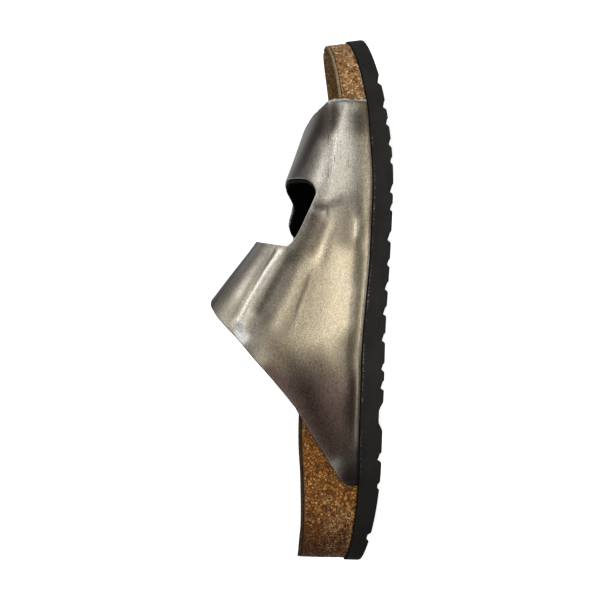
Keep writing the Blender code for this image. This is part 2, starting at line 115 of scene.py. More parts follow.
# Upper
WALL = 2.4
SKIN = 1.3
OVERHANG = 1.7
SPRING_ABOVE_RIM = 3.0
WALL_SHARE = 0.30
TANGENT_X, TANGENT_OVER = 0.5, 0.004
OVER_MM = 100.0
EDGE_ROLL = 0.55
EDGE_ROWS = (0.0, 0.12, 0.3, 0.6, 1.1)
SEAM_TUCK, SEAM_TUCK_HEIGHT = 0.4, 0.9
FRAY, FRAY_SIZE, EDGE_HELD = 0.45, 2.2, 1.6
LEATHER_LUMP, LEATHER_LUMP_HEIGHT = 14.0, 0.12
LINING_CLEAR, LINING_BEYOND, BEYOND_FROM_WIDTH = 0.05, 1.4, (4.0, 14.0)
CUT_STEPS, RIM_STEPS, STROKE_STEPS = 260, 90, 14
SKIN_COLUMNS, SKIN_ROWS = (0.0078, 3), (100, 44)
LINING_COLUMNS, LINING_ROWS = (0.018, 2), (50, 24)

# Tints of the foil, as shares over x and over the arch
WARM_REAR, WARM_TIP, WARM_FOOT = (185.0, 150.0), (56.0, 90.0), (0.16, 0.06)
WARM_CREST, WARM_CREST_LOSS = (0.35, 0.5), 0.7
PLUM_FRONT, PLUM_TIP, PLUM_FOOT = (104.0, 84.0), (50.0, 62.0), (0.025, 0.06)
PLUM_OUTER, PLUM_OUTER_LOSS = (0.9, 1.1), 0.6

# Strap ends and buckles
STRAP_ROWS, STRAP_ACROSS, STRAP_BUNCHING = 130, 36, 1.25
STRAP_RISE, STRAP_CLEAR, STRAP_LEAST = 2.0, 0.05, 0.4
STRAP_WARMTH, NO_EDGE_NEAR = 0.5, 50.0
FRAME_ACROSS, FRAME_ALONG, FRAME_BAR, FRAME_THICK = 24.0, 20.0, 2.8, 1.8
FRAME_CORNER, FRAME_SQUARING, FRAME_BLEND = 4.5, 1.42, 3
FRAME_STEPS, FRAME_RING = 120, 20
PRONG_RADIUS, PRONG_TAIL = 0.8, 1.8
PRONG_TIP_RADIUS, PRONG_TIP_PAST = 0.4, 0.8
PRONG_STEPS, PRONG_RING, PRONG_END_STEPS = 40, 16, 4
SECTION_POWER = 0.8
HOLE_RADIUS, HOLE_SHOULDER, HOLE_DEPTH = 1.3, 0.75, 1.2
HOLE_PITCH, HOLE_STEPS = 7.0, (-1, 1, 2)

# Camera, from the photograph: along +Y, rolled so that the toe points up
CAMERA_ELEVATION, CAMERA_ROLL = 1.6, -1.9
CAMERA_TARGET = (0.0, 0.0, 0.040)
CAMERA_DISTANCE, CLIP_START, MM_PER_PIXEL, IMAGE_PIXELS, SENSOR = 0.6, 0.01, 0.498, 600, 36.0

# Light and stage, in metres
SANDAL = (0.0, 0.0, 0.03)
ROOM_COLOUR = (0.10, 0.10, 0.105, 1.0)
FLOOR, FLOOR_SPLIT = 6.0, 0.05
BACKDROP, BACKDROP_HEIGHT, WALL_SIDES = 5.8, 4.0, 64


class Table:
    """A short table with named columns, read along its first column by a smooth curve."""

    def __init__(self, columns, rows):
        self.columns = dict(zip(columns, np.array(rows, float).T))
        self.key = self.columns[columns[0]]

    def at(self, name, x):
        """The named column at x: a cubic through the rows that doesn't overshoot between them."""
        x = np.clip(np.asarray(x, float), self.key[0], self.key[-1])
        values = self.columns[name]
        step = np.diff(self.key)
        slope = np.diff(values) / step
        before, after = slope[:-1], slope[1:]
        rising = before * after > 0
        weight_a, weight_b = 2 * step[1:] + step[:-1], step[1:] + 2 * step[:-1]
        inner = np.zeros(len(values) - 2)
        inner[rising] = (weight_a + weight_b)[rising] / (
            weight_a[rising] / before[rising] + weight_b[rising] / after[rising]
        )
        tangent = np.concatenate([slope[:1], inner, slope[-1:]])
        i = np.clip(np.searchsorted(self.key, x) - 1, 0, len(step) - 1)
        t = (x - self.key[i]) / step[i]
        return (
            values[i] * (1 + 2 * t) * (1 - t) ** 2
            + tangent[i] * step[i] * t * (1 - t) ** 2
            + values[i + 1] * t**2 * (3 - 2 * t)
            - tangent[i + 1] * step[i] * t**2 * (1 - t)
        )


# Half widths to each side of the middle line, and the sole's thickness, from heel to toe.
SOLE = Table(
    ("x", "middle_y", "medial", "lateral", "thick"),
    (
        (0, 0.0, 31.5, 31.5, 7.2),
        (25, 0.0, 32.5, 32.5, 9.1),
        (60, 0.0, 33.0, 34.0, 10.9),
        (100, -0.5, 34.0, 36.5, 11.0),
        (125, -1.3, 36.8, 40.1, 10.1),
        (150, -2.5, 40.2, 44.9, 9.5),
        (172, -3.5, 42.5, 49.0, 9.5),
        (198, -4.6, 42.5, 51.0, 9.7),
        (220, -6.0, 41.0, 50.0, 8.5),
        (255, -8.0, 38.0, 46.0, 7.4),
    ),
)

# Grooves across the sole, from heel to toe: where they notch its inner edge, their width and depth.
GROOVES = Table(
    ("x", "width", "depth"),
    (
        (16.0, 5.0, 1.4),
        (41.0, 4.0, 1.0),
        (54.5, 5.0, 2.0),
        (74.0, 15.0, 1.9),
        (88.5, 5.0, 1.9),
        (97.0, 4.5, 1.6),
        (111.0, 5.0, 2.0),
        (123.5, 5.0, 2.0),
        (135.0, 5.0, 1.7),
        (146.0, 4.0, 1.2),
        (158.0, 5.5, 2.0),
        (171.5, 4.0, 1.3),
        (180.0, 5.0, 2.0),
        (193.0, 4.0, 1.0),
        (201.0, 4.0, 1.1),
        (210.5, 4.0, 1.3),
        (218.5, 4.5, 1.6),
        (230.0, 5.0, 1.7),
    ),
)

# Heights of the footbed's rim on each side, and of its seat, above the sole's top.
FOOTBED = Table(
    ("x", "rim_medial", "rim_lateral", "seat"),
    (
        (0, 21.8, 21.2, 14.0),
        (15, 23.2, 21.0, 12.6),
        (40, 25.7, 21.2, 11.8),
        (70, 27.3, 20.4, 12.2),
        (105, 27.0, 18.5, 13.8),
        (140, 22.0, 15.5, 12.5),
        (170, 15.5, 13.5, 9.0),
        (195, 12.5, 12.0, 7.0),
        (220, 11.2, 10.6, 6.0),
        (255, 9.2, 9.2, 5.2),
    ),
)

# The instep's ridge line: where the arch of the upper has its crest.
INSTEP = Table(
    ("x", "crest_y", "crest_z"),
    (
        (41, 0.0, 125.0),
        (75, -1.0, 114.5),
        (100, -2.5, 101.5),
        (125.5, -4.0, 84.0),
        (140, -5.0, 73.8),
        (156, -6.0, 62.3),
        (170, -6.5, 55.2),
        (184, -7.5, 49.7),
        (200, -8.5, 44.3),
        (211, -9.0, 41.0),
        (220, -9.5, 39.0),
    ),
)

# Cut edges of the upper, at places over the arch: 0 inner sole edge, 1 crest, 2 outer sole edge.
CUT = Table(
    ("over", "rear_x", "front_x"),
    (
        (0.00, 41.0, 220.4),
        (0.04, 41.0, 220.4),
        (0.075, 42.4, 220.4),
        (0.113, 47.2, 220.4),
        (0.153, 53.8, 220.3),
        (0.217, 63.7, 220.2),
        (0.279, 73.4, 220.0),
        (0.348, 85.6, 219.7),
        (0.428, 96.6, 219.2),
        (0.54, 107.8, 217.5),
        (0.62, 113.0, 216.3),
        (0.73, 118.3, 214.6),
        (0.83, 122.0, 212.2),
        (1.00, 125.5, 209.0),
        (1.17, 122.2, 207.8),
        (1.27, 118.8, 207.0),
        (1.38, 113.8, 206.2),
        (1.46, 109.0, 205.6),
        (1.58, 98.5, 204.9),
        (1.66, 88.5, 204.5),
        (1.73, 77.0, 204.2),
        (1.79, 67.8, 204.0),
        (1.85, 58.6, 204.0),
        (1.89, 52.2, 204.0),
        (1.925, 47.7, 204.0),
        (1.96, 46.4, 204.0),
        (2.00, 46.3, 204.0),
    ),
)

# The cut-out between the straps: its rear and front edges, which meet at its two ends.
NOTCH = Table(
    ("over", "rear_x", "front_x"),
    (
        (0.454, 176.3, 176.3),
        (0.457, 174.9, 177.5),
        (0.466, 171.8, 178.6),
        (0.48, 166.6, 179.8),
        (0.49, 160.0, 180.4),
        (0.502, 156.0, 181.0),
        (0.513, 153.9, 181.5),
        (0.535, 152.4, 182.3),
        (0.585, 152.8, 183.6),
        (0.68, 153.7, 184.5),
        (0.80, 154.6, 185.1),
        (0.93, 155.4, 185.5),
        (1.00, 155.5, 185.0),
        (1.08, 155.2, 183.8),
        (1.18, 154.6, 182.5),
        (1.25, 153.7, 181.0),
        (1.31, 152.8, 179.0),
        (1.345, 152.5, 177.0),
        (1.356, 152.4, 174.0),
        (1.363, 152.4, 169.5),
        (1.372, 152.5, 167.0),
        (1.40, 152.7, 164.5),
        (1.435, 153.6, 161.7),
        (1.46, 155.5, 160.2),
        (1.468, 158.2, 158.2),
    ),
)

# A strap's end on the outer side: how far it has narrowed to the tip's half width, and its share of
# the full rise over the wall.
STRAP_END = Table(
    ("share", "narrowing", "rise"),
    (
        (0.00, 0.0, 0.05),
        (0.15, 0.0, 0.6),
        (0.24, 0.1, 1.0),
        (0.36, 1.0, 1.0),
        (1.00, 1.0, 1.0),
    ),
)

# Each strap's end: x of its middle line at its start and tip, its half widths there, where over the
# arch it starts, is buckled and stops, and how far the buckle's frame is lifted off the wall.
STRAPS = {
    "front": dict(
        x=197.0, tip_x=194.5, half=11.0, tip_half=8.2, start=1.08, buckle=1.42, tip=1.70, lift=2.1
    ),
    "rear": dict(
        x=139.5, tip_x=137.0, half=15.0, tip_half=8.6, start=1.10, buckle=1.41, tip=1.64, lift=2.9
    ),
}

# Long lines on the upper, and those that a crease and a tone share, as (x, over) points.
REAR_EDGE = ((99, 0.43), (88, 0.35), (76, 0.28), (66, 0.217), (56, 0.153), (50, 0.113))
OUTER_REAR_EDGE = ((97, 1.585), (86, 1.67), (75, 1.74), (62, 1.825), (54, 1.875))
FRONT_STRAP_SIDE = ((219, 0.15), (203, 0.155), (188, 0.165), (176, 0.17))
LONG_RIDGE = ((170, 0.26), (163, 0.27), (157, 0.29), (151, 0.29), (139, 0.32))
THIN_CREASE = ((146, 0.315), (131, 0.322), (111, 0.335))
SEAM_TROUGH = ((190, 0.08), (158, 0.06), (130, 0.042), (100, 0.038), (60, 0.04))
SEAM_SHADE = ((158, 0.05), (144, 0.04), (130, 0.034), (113, 0.03), (96, 0.034))
OUTER_SEAM_TROUGH = ((196, 1.935), (150, 1.95), (110, 1.96), (70, 1.965))

# Creases and swells of the leather: their line as (x, over) points, height (below 0 a
# trough), width and the share of the line over which each end fades, or 0 for a round end.
CREASES = (
    ("swell of the rear edge", REAR_EDGE, 1.2, 9.0, 0),
    ("swell of the front strap's side", FRONT_STRAP_SIDE, 0.8, 6.5, 0),
    ("swell of the side", ((168, 0.09), (148, 0.085), (125, 0.072), (104, 0.07)), 0.9, 7.5, 0),
    ("trough under the cut-out", ((172, 0.46), (171.5, 0.38), (172, 0.30), (174, 0.22)), -0.45, 2.2, 0.25),
    ("ridge behind that trough", ((168, 0.465), (168, 0.38), (169, 0.31)), 0.4, 2.6, 0.25),
    ("long ridge down the side", LONG_RIDGE, 0.45, 2.8, 0.4),
    ("soft ridge over the sole", ((168, 0.09), (161, 0.092), (154, 0.088)), 0.5, 2.6, 0.4),
    ("groove along the rear strap", ((153, 0.60), (137, 0.608), (114, 0.605)), -0.4, 1.5, 0.15),
    ("ridge beside that groove", ((153, 0.54), (137, 0.57), (112, 0.57)), 0.85, 4.0, 0.12),
    ("broad trough of the rear strap", ((151, 0.475), (134, 0.505), (114, 0.515)), -0.8, 4.6, 0.2),
    ("broad ridge of the rear strap", ((145, 0.36), (128, 0.39), (109, 0.415)), 0.6, 5.0, 0.3),
    ("thin crease of the side", THIN_CREASE, -0.14, 1.0, 0.35),
    ("trough over the sole", SEAM_TROUGH, -0.35, 2.2, 0.2),
    ("outer swell of the rear edge", OUTER_REAR_EDGE, 0.9, 8.0, 0),
    ("outer trough beside the strap", ((167, 1.60), (157, 1.65), (149, 1.69)), -0.5, 3.5, 0.3),
    ("outer ridge", ((162, 1.69), (148, 1.73), (130, 1.745)), 0.5, 2.8, 0.35),
    ("outer crease", ((121, 1.60), (113, 1.66), (104, 1.73)), -0.2, 1.2, 0.3),
    ("outer trough over the sole", OUTER_SEAM_TROUGH, -0.35, 2.2, 0.2),
)

# Tones of the foil, painted one over the other: worn tones together with painted highlights where the
# foil faces the light and painted shade on crests, creases and troughs that face away from it. Each row
# gives its line, level in stops from the mid pewter, width and fade as above.
FOIL_TONES_AND_PAINTED_LIGHT = (
    ("side, champagne", ((149, 0.17), (137, 0.16), (125, 0.16), (116, 0.17), (106, 0.20)), 0.85, 13.0, 0),
    ("side, champagne foot", ((133, 0.062), (126, 0.055), (118, 0.058)), 1.4, 4.0, 0),
    ("foot of the side", ((107, 0.07), (99, 0.08)), -0.6, 5.5, 0),
    ("lower side, dulled", ((113, 0.41), (105, 0.38), (97, 0.31), (90, 0.26)), -1.15, 7.5, 0),
    ("lower side, dull middle", ((98, 0.20), (92, 0.15), (87, 0.10)), -1.0, 8.0, 0),
    ("lower side, dark", ((84, 0.26), (77, 0.23), (68, 0.19), (58, 0.15)), -2.8, 11.0, 0),
    ("lower side, dark edge", ((94, 0.39), (86, 0.33), (78, 0.28)), -2.4, 4.0, 0),
    ("lower side, dark by the sole", ((76, 0.065), (64, 0.05), (50, 0.04)), -2.4, 8.0, 0),
    ("tip, paler spot", ((55, 0.12), (48, 0.088), (43.5, 0.06)), -0.75, 3.4, 0.2),
    ("tip, dark", ((45, 0.04), (41, 0.02)), -4.3, 5.0, 0),
    ("front strap, foot", ((205, 0.03), (190, 0.05), (174, 0.08)), 1.05, 5.5, 0),
    ("front strap, bright below", ((200, 0.27), (193, 0.29), (182, 0.30), (176, 0.32)), 0.7, 9.0, 0),
    ("front strap, dark by the sole", ((213, 0.09), (208, 0.09)), -0.9, 3.8, 0),
    ("front strap, corner", ((220, 0.125), (217, 0.12)), 0.9, 3.0, 0),
    ("front strap, crest", ((207, 0.54), (201, 0.63), (194, 0.70), (187, 0.76)), -2.2, 6.0, 0),
    ("front strap, dark wedge", ((213, 0.38), (209, 0.42), (204, 0.47)), -2.8, 5.0, 0),
    ("front strap, wedge's edge", ((213, 0.305), (208, 0.345), (204, 0.378)), -2.6, 2.8, 0),
    ("front strap, grey streak", ((199, 0.495), (194, 0.53), (187, 0.565)), -0.6, 4.6, 0),
    ("front strap, bright above", ((220, 0.21), (210, 0.24), (203, 0.29)), 1.0, 2.6, 0),
    ("front strap, bright middle", ((202, 0.325), (197, 0.37), (190, 0.41), (183, 0.43)), 1.15, 3.4, 0),
    ("under the cut-out", ((171, 0.46), (171, 0.39), (172, 0.31), (175.5, 0.20)), -1.1, 1.9, 0.12),
    ("core of that trough", ((171, 0.45), (170, 0.41), (170.3, 0.36), (172, 0.31)), -0.9, 0.7, 0.3),
    ("ridge behind it", ((168.5, 0.45), (168, 0.38), (169.3, 0.31)), 0.8, 1.4, 0.25),
    ("side of the cut-out", ((165, 0.405), (161, 0.39), (156, 0.40), (150, 0.425)), -1.35, 4.8, 0),
    ("between the ridges", ((172, 0.19), (165, 0.17), (157, 0.16)), -0.95, 5.0, 0),
    ("long ridge", LONG_RIDGE, 1.5, 2.6, 0.4),
    ("beside the long ridge", ((167, 0.335), (158, 0.345), (147, 0.38)), -1.2, 3.0, 0.25),
    ("soft ridge", ((170, 0.095), (162, 0.09), (153, 0.09)), 1.35, 2.2, 0.4),
    ("rear strap, beige", ((156, 0.675), (143, 0.68), (130, 0.675)), 1.0, 4.6, 0),
    ("rear strap, crest", ((156, 0.92), (138, 0.90), (121, 0.90)), -4.8, 4.5, 0),
    ("rear strap, groove", ((152, 0.60), (137, 0.615), (114, 0.61)), -1.2, 2.1, 0.15),
    ("rear strap, dark trough", ((152, 0.465), (141, 0.49), (126, 0.51), (119, 0.515)), -1.4, 4.8, 0.1),
    ("rear strap, ridge", ((153, 0.54), (145, 0.557), (127, 0.58), (112, 0.565)), 1.35, 3.2, 0.1),
    ("rear strap, broad ridge", ((146, 0.345), (136, 0.37), (120, 0.40), (109, 0.42)), 0.1, 4.0, 0.2),
    ("thin crease", THIN_CREASE, -0.4, 0.8, 0.3),
    # The next two rows paint a rubbed pale spot together with a painted highlight on it.
    ("rubbed pale, broad", ((115, 0.575), (112.5, 0.54), (109.5, 0.51)), 1.6, 2.8, 0),
    ("rubbed pale", ((115, 0.58), (109, 0.53), (105, 0.49)), 2.2, 2.4, 0.3),
    ("trough over the sole", SEAM_SHADE, -0.7, 1.3, 0.2),
    ("trough towards the heel", ((102, 0.036), (83, 0.032), (60, 0.035)), -4.2, 1.5, 0.4),
    ("strip over the sole", ((168, 0.02), (153, 0.01), (121, 0.004), (96, 0.005)), 1.6, 1.3, 0.2),
    ("strip towards the heel", ((97, 0.008), (74, 0.008), (55, 0.01)), -0.2, 1.0, 0.2),
    ("pleat of the front edge", ((219, 0.235), (213, 0.25)), 0.0, 0.6, 0.3),
    ("outer side, champagne", ((150, 1.82), (128, 1.84), (112, 1.82)), 0.4, 12.0, 0),
    ("outer side, dull under the straps", ((168, 1.60), (158, 1.64), (148, 1.70)), -1.3, 5.5, 0),
    ("outer side, dark", ((90, 1.74), (79, 1.78), (69, 1.83), (60, 1.86)), -2.2, 10.0, 0),
    ("outer side, dark by the sole", ((82, 1.93), (66, 1.95), (54, 1.96)), -2.0, 8.0, 0),
    ("outer tip, dark", ((51, 1.95), (48, 1.97)), -3.2, 5.0, 0),
    ("outer ridge", ((161, 1.70), (148, 1.735), (131, 1.745)), 1.0, 2.6, 0.4),
    ("outer trough over the sole", OUTER_SEAM_TROUGH, -1.4, 1.6, 0.2),
    ("outer front strap, dull foot", ((203, 1.90), (192, 1.91)), -0.9, 5.0, 0),
)

# Scuffed places of the foil: their line, strength, width and fade as above.
SCUFFS = (
    ("scratches of the front strap", ((206, 0.34), (196, 0.37), (185, 0.385)), 1.0, 3.0, 0),
    ("rub beside the cut-out", ((181, 0.46), (177, 0.41), (174, 0.38)), 0.9, 3.0, 0),
    ("short scratches", ((197, 0.25), (190, 0.20)), 0.6, 3.0, 0),
    ("streaks of the crest", ((204, 0.50), (190, 0.57)), 0.6, 5.0, 0),
)


def sole_bottom(x):
    """Height of the sole's running face: flat at heel and ball, with toe spring and heel lift."""
    toe = np.clip((x - TOE_SPRING_FROM) / (LENGTH - TOE_SPRING_FROM), 0, 1)
    heel = np.clip((HEEL_LIFT_FROM - x) / HEEL_LIFT_FROM, 0, 1)
    waist = np.clip((x - WAIST_FROM) / (WAIST_TO - WAIST_FROM), 0, 1)
    return (
        TOE_SPRING * toe**TOE_SPRING_POWER
        + HEEL_LIFT * heel**HEEL_LIFT_POWER
        + WAIST_ARCH * np.sin(math.pi * waist) ** 2
    )


def sole_top(x):
    return sole_bottom(x) + SOLE.at("thick", x)


def rounded(share):
    """Quarter of a superellipse: 0 at the end of the outline, 1 where its round stretch stops."""
    left = 1 - np.clip(share, 0, 1)
    return (1 - left**ROUND_POWER) ** (1 / ROUND_POWER)


def edge(x, side, inset=0.0):
    """y of the sole's outline on one side at x, drawn in by inset."""
    heel = rounded((x - inset) / (HEEL_ROUND - inset))
    toe = rounded((LENGTH - inset - x) / (TOE_ROUND[side] - inset))
    half = SOLE.at("medial" if side == MEDIAL else "lateral", x) - inset
    return SOLE.at("middle_y", x) + side * half * heel * toe


def end_stations(inset, count):
    """x stations from heel to toe, closer together towards both round ends."""
    turn = np.linspace(0, math.pi, count)
    share = END_BUNCHING * (1 - np.cos(turn)) / 2 + (1 - END_BUNCHING) * turn / math.pi
    return inset + (LENGTH - 2 * inset) * share


def box_middle_y():
    """Middle of the sandal's width at the ball, from the upper's inner side to its outer strap end."""
    x = np.linspace(0, LENGTH, WIDTH_STEPS)
    inner = edge(x, MEDIAL, -OVERHANG).min()
    outer = edge(x, LATERAL, -OVERHANG).max() + STRAP_RISE
    return (inner + outer) / 2


ORIGIN = np.array([LENGTH / 2, box_middle_y(), 0.0])


def placed(points):
    """Millimetres from the heel to metres in the frame, with the toe's end leaning back."""
    points = np.array(points, float)
    x, z = points[..., 0], points[..., 2]
    toe = np.clip((x - TOE_LEAN_FROM) / (LENGTH - TOE_LEAN_FROM), 0, 1)
    points[..., 0] = x - TOE_LEAN * toe**2 * (z - sole_bottom(x))
    return (points - ORIGIN) * MM


def smooth(value, low, high):
    """0 below low, 1 above high, with a soft S between them."""
    t = np.clip((value - low) / (high - low), 0, 1)
    return t * t * (3 - 2 * t)


def unit(vectors):
    """The vectors at length 1."""
    return vectors / np.linalg.norm(vectors, axis=-1, keepdims=True)


def quarter_round(share):
    """Height of a quarter circle: 0 at its foot, 1 from its top on."""
    return np.sqrt(1 - (1 - np.clip(share, 0, 1)) ** 2)


def edge_roll(gap):
    """How far a face drops at the given distance from its cut edge, along a quarter circle."""
    return EDGE_ROLL * (1 - quarter_round(gap / EDGE_ROLL))


def soft_noise(points, size, seed):
    """Random values on a cubic lattice of the given pitch, blended smoothly between its corners."""
    lattice = np.random.default_rng(seed).random((LATTICE, LATTICE, LATTICE)) * 2 - 1
    place = points / size
    low = np.floor(place).astype(int)
    part = place - low
    part = part * part * (3 - 2 * part)
    total = 0.0
    for corner in np.ndindex(2, 2, 2):
        index = (low + corner) % LATTICE
        weight = np.prod(np.where(np.array(corner) == 1, part, 1 - part), axis=-1)
        total = total + weight * lattice[index[..., 0], index[..., 1], index[..., 2]]
    return total


def grain_distance(points, size, seed):
    """Distance to the nearest of scattered grains, one in each cube of the given pitch, in pitches."""
    lattice = np.random.default_rng(seed).random((LATTICE, LATTICE, LATTICE, 3))
    place = points / size
    low = np.floor(place).astype(int)
    best = np.full(points.shape[:-1], FAR)
    for corner in np.ndindex(3, 3, 3):
        cell = low + np.array(corner) - 1
        index = cell % LATTICE
        grain = cell + lattice[index[..., 0], index[..., 1], index[..., 2]]
        best = np.minimum(best, np.linalg.norm(place - grain, axis=-1))
    return best


def smooth_line(points, count):
    """A smooth curve through points, each coordinate a cubic of the share of the line's length."""
    points = np.array(points, float)
    share = np.concatenate([[0], np.cumsum(np.linalg.norm(np.diff(points, axis=0), axis=1))])
    names = ["share"] + [str(i) for i in range(points.shape[1])]
    table = Table(names, np.column_stack([share / share[-1], points]))
    along = np.linspace(0, 1, count)
    return np.stack([table.at(name, along) for name in names[1:]], -1)


def line_distance(points, line):
    """Distance of each point from a line of straight pieces, and the share of the line nearest to it."""
    best = np.full(points.shape[:-1], FAR)
    share = np.zeros(points.shape[:-1])
    for i, (a, b) in enumerate(zip(line[:-1], line[1:])):
        way = b - a
        t = np.clip((points - a) @ way / max(way @ way, TINY), 0, 1)
        apart = np.linalg.norm(points - a - t[..., None] * way, axis=-1)
        nearer = apart < best
        best = np.where(nearer, apart, best)
        share = np.where(nearer, (i + t) / (len(line) - 1), share)
    return best, share


def grid_faces(rows, columns, closed):
    """Quads of a grid stored row after row; closed joins the last column to the first."""
    last = columns if closed else columns - 1
    row, column = np.meshgrid(np.arange(rows - 1), np.arange(last), indexing="ij")
    a = row * columns + column
    b = row * columns + (column + 1) % columns
    return np.stack([a, a + columns, b + columns, b], -1).reshape(-1, 4)


def added(name, data):
    """A new object in the scene that shows a mesh, a light or a camera."""
    obj = bpy.data.objects.new(name, data)
    bpy.context.scene.collection.objects.link(obj)
    return obj


def piece(name, points, faces, finishes, attributes=None):
    """A smooth mesh from points in millimetres and quads, doubled points merged, riding on the body."""
    mesh = bpy.data.meshes.new(name)
    mesh.from_pydata(placed(points).tolist(), [], faces.tolist())
    for label, values in (attributes or {}).items():
        layer = mesh.attributes.new(label, "FLOAT", "POINT")
        layer.data.foreach_set("value", np.ascontiguousarray(values, np.float32).ravel())
    shape = bmesh.new()
    shape.from_mesh(mesh)
    bmesh.ops.remove_doubles(shape, verts=shape.verts, dist=MERGE)
    bmesh.ops.dissolve_degenerate(shape, edges=shape.edges, dist=MERGE)
    shape.to_mesh(mesh)
    shape.free()
    mesh.shade_smooth()
    for finish in finishes:
        mesh.materials.append(finish)
    obj = added(name, mesh)
    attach(obj, BODY)
    return obj


def ring_piece(name, rings, finish, attributes=None):
    """A closed piece from closed rings of points, each joined to the next, its faces turned outwards."""
    faces = grid_faces(*rings.shape[:2], closed=True)
    obj = piece(name, rings.reshape(-1, 3), faces, [finish], attributes)
    shape = bmesh.new()
    shape.from_mesh(obj.data)
    bmesh.ops.recalc_face_normals(shape, faces=shape.faces)
    shape.to_mesh(obj.data)
    shape.free()
    return obj


def groove_depth(x):
    """Depth of the grooves at x along the inner edge: each is a flat floor with sloping sides."""
    depth = np.zeros_like(x)
    for at, width, deep in zip(*GROOVES.columns.values()):
        off = np.abs(x - at) / width
        depth = np.maximum(depth, deep * smooth(0.5 - off, 0, 0.5 - GROOVE_FLAT / 2))
    return depth


def foam_sole(finish):
    """Closed rings across the sole, from heel to toe: bottom, outer side, top and inner side.

    At each station a groove's wave moves the bottom's points along x, the bottom rises by the groove's
    depth, and a small bevel joins it to the upright sides.
    """
    station = end_stations(0.0, SOLE_STATIONS)[:, None]
    across = np.linspace(-1, 1, SOLE_ACROSS)[None, :]
    fade = np.clip(np.minimum(station, LENGTH - station) / GROOVE_WAVE_FADE, 0, 1)
    wave = GROOVE_WAVE * fade * (np.sin(GROOVE_WAVES * math.pi * across) - 1)
    along = np.clip(station + wave, 0, LENGTH)
    medial, lateral = edge(along, MEDIAL), edge(along, LATERAL)
    middle, half = (medial + lateral) / 2, (lateral - medial) / 2
    inner_half = np.maximum(half - SOLE_EDGE_BEVEL, 0)
    low = sole_bottom(along) + groove_depth(station + 0 * across)
    bottom = np.stack([along, middle + across * inner_half, low], -1)
    rise = np.linspace(0, 1, SOLE_SIDE_ROWS)[None, :, None]

    def side(column, sign):
        foot = bottom[:, [column]]
        out = foot + np.stack(
            [
                np.zeros_like(half[:, column]),
                sign * (half - inner_half)[:, column],
                np.full_like(half[:, column], SOLE_EDGE_BEVEL),
            ],
            -1,
        )[:, None]
        top = out.copy()
        top[..., 2] = sole_top(out[..., 0])
        return out + (top - out) * rise

    outer, inner = side(-1, 1), side(0, -1)
    lid = np.linspace(1, 0, SOLE_TOP_COLUMNS)[None, 1:-1, None]
    top = inner[:, -1:] + (outer[:, -1:] - inner[:, -1:]) * lid
    top[..., 2] = sole_top(top[..., 0])
    rings = np.concatenate([bottom, outer, top, inner[:, ::-1]], axis=1)
    x, z = rings[..., 0], rings[..., 2]
    attributes = {
        "below_top": sole_top(x) - z,
        "heel": smooth(x, *SOLE_HEEL_DARKER),
        "dusty": smooth(x, *DUST_BEGINS) * smooth(x, *DUST_ENDS),
    }
    obj = ring_piece("foam_sole", rings, finish, attributes)
    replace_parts(obj, "outsole")


def outline(inset, count):
    """Closed outline of the footbed: stations along the inner side, then back along the outer."""
    x = end_stations(inset, count)
    medial = np.stack([x, edge(x, MEDIAL, inset)], -1)
    lateral = np.stack([x, edge(x, LATERAL, inset)], -1)
    return np.concatenate([medial, lateral[-2:0:-1]])


def midline(points):
    """Where each outline point's rib meets the middle line of the foot."""
    x = MIDLINE_FROM + points[:, 0] / LENGTH * (MIDLINE_TO - MIDLINE_FROM)
    return np.stack([x, (edge(x, MEDIAL) + edge(x, LATERAL)) / 2], -1)


def bed_height(points, edge_points):
    """Top of the cork: seat, cup and arch rising to the rim, and a low bar under the toes."""
    x, y = points[..., 0], points[..., 1]
    medial, lateral = edge(x, MEDIAL, CORK_INSET), edge(x, LATERAL, CORK_INSET)
    mix = smooth((y - medial) / np.maximum(lateral - medial, TINY), 0, 1)
    rim = (1 - mix) * FOOTBED.at("rim_medial", x) + mix * FOOTBED.at("rim_lateral", x)
    apart = np.full(x.shape, FAR)
    for place in edge_points:
        apart = np.minimum(apart, np.hypot(x - place[0], y - place[1]))
    down = np.clip((apart - RIM_WIDTH) / CUP_SLOPE, 0, 1)
    bar = TOE_BAR * np.exp(-(((x - TOE_BAR_AT) / TOE_BAR_SPREAD) ** 2))
    seat = FOOTBED.at("seat", x) + bar * down
    return sole_top(x) + rim + (seat - rim) * np.sin(down * math.pi / 2) ** CUP_POWER


def bed_top(shares):
    """Rings of points from the outline in to the middle line, on the top of the cork."""
    border = outline(CORK_INSET, BED_STATIONS)
    centre = midline(border)
    plan = border + (centre - border) * np.asarray(shares)[:, None, None]
    height = bed_height(plan, outline(CORK_INSET, RIM_STATIONS))
    return np.concatenate([plan, height[..., None]], -1)


def cork_bed(finish):
    """Rings from the middle of the underside out, up the side and in over the top of the cork.

    The side is moved in and out by the distance to scattered grains, which leaves small pits.
    """
    top = bed_top(CORK_TOP_SHARES)
    top[2:, :, 2] -= CORK_TOP_CLEAR
    border = top[0]
    base = border.copy()
    base[:, 2] = sole_top(base[:, 0]) + GAP
    centre = top[-1].copy()
    centre[:, 2] = sole_top(centre[:, 0]) + GAP
    rise = np.linspace(0, 1, CORK_SIDE_ROWS)[:, None, None]
    side = base + (border - base) * rise
    way = unit(border[:, :2] - midline(border))
    pits = smooth(grain_distance(side, CORK_GRAIN, seed=5), *CORK_PIT)
    lumps = soft_noise(side, CORK_LUMP, seed=6)
    out = CORK_SWELL + CORK_LUMP_HEIGHT * lumps - CORK_PIT_DEPTH * pits
    side[..., :2] += way[None] * out[..., None]
    rings = np.concatenate([centre[None], side, top[1:]])
    x, z = rings[..., 0], rings[..., 2]
    below_rim = border[:, 2][None, :] - z
    rubbed = smooth(x, *RUBBED_BEGINS) * smooth(x, *RUBBED_ENDS) * smooth(below_rim, *RUBBED_BELOW_RIM)
    attributes = {
        "below_rim": below_rim,
        "above_sole": z - sole_top(x) - GAP,
        "toe": smooth(x, *TOE_PALER),
        "heel": smooth(x, *HEEL_DARKER),
        "rubbed": rubbed,
    }
    obj = ring_piece("cork_bed", rings, finish, attributes)
    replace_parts(obj, "footbed")


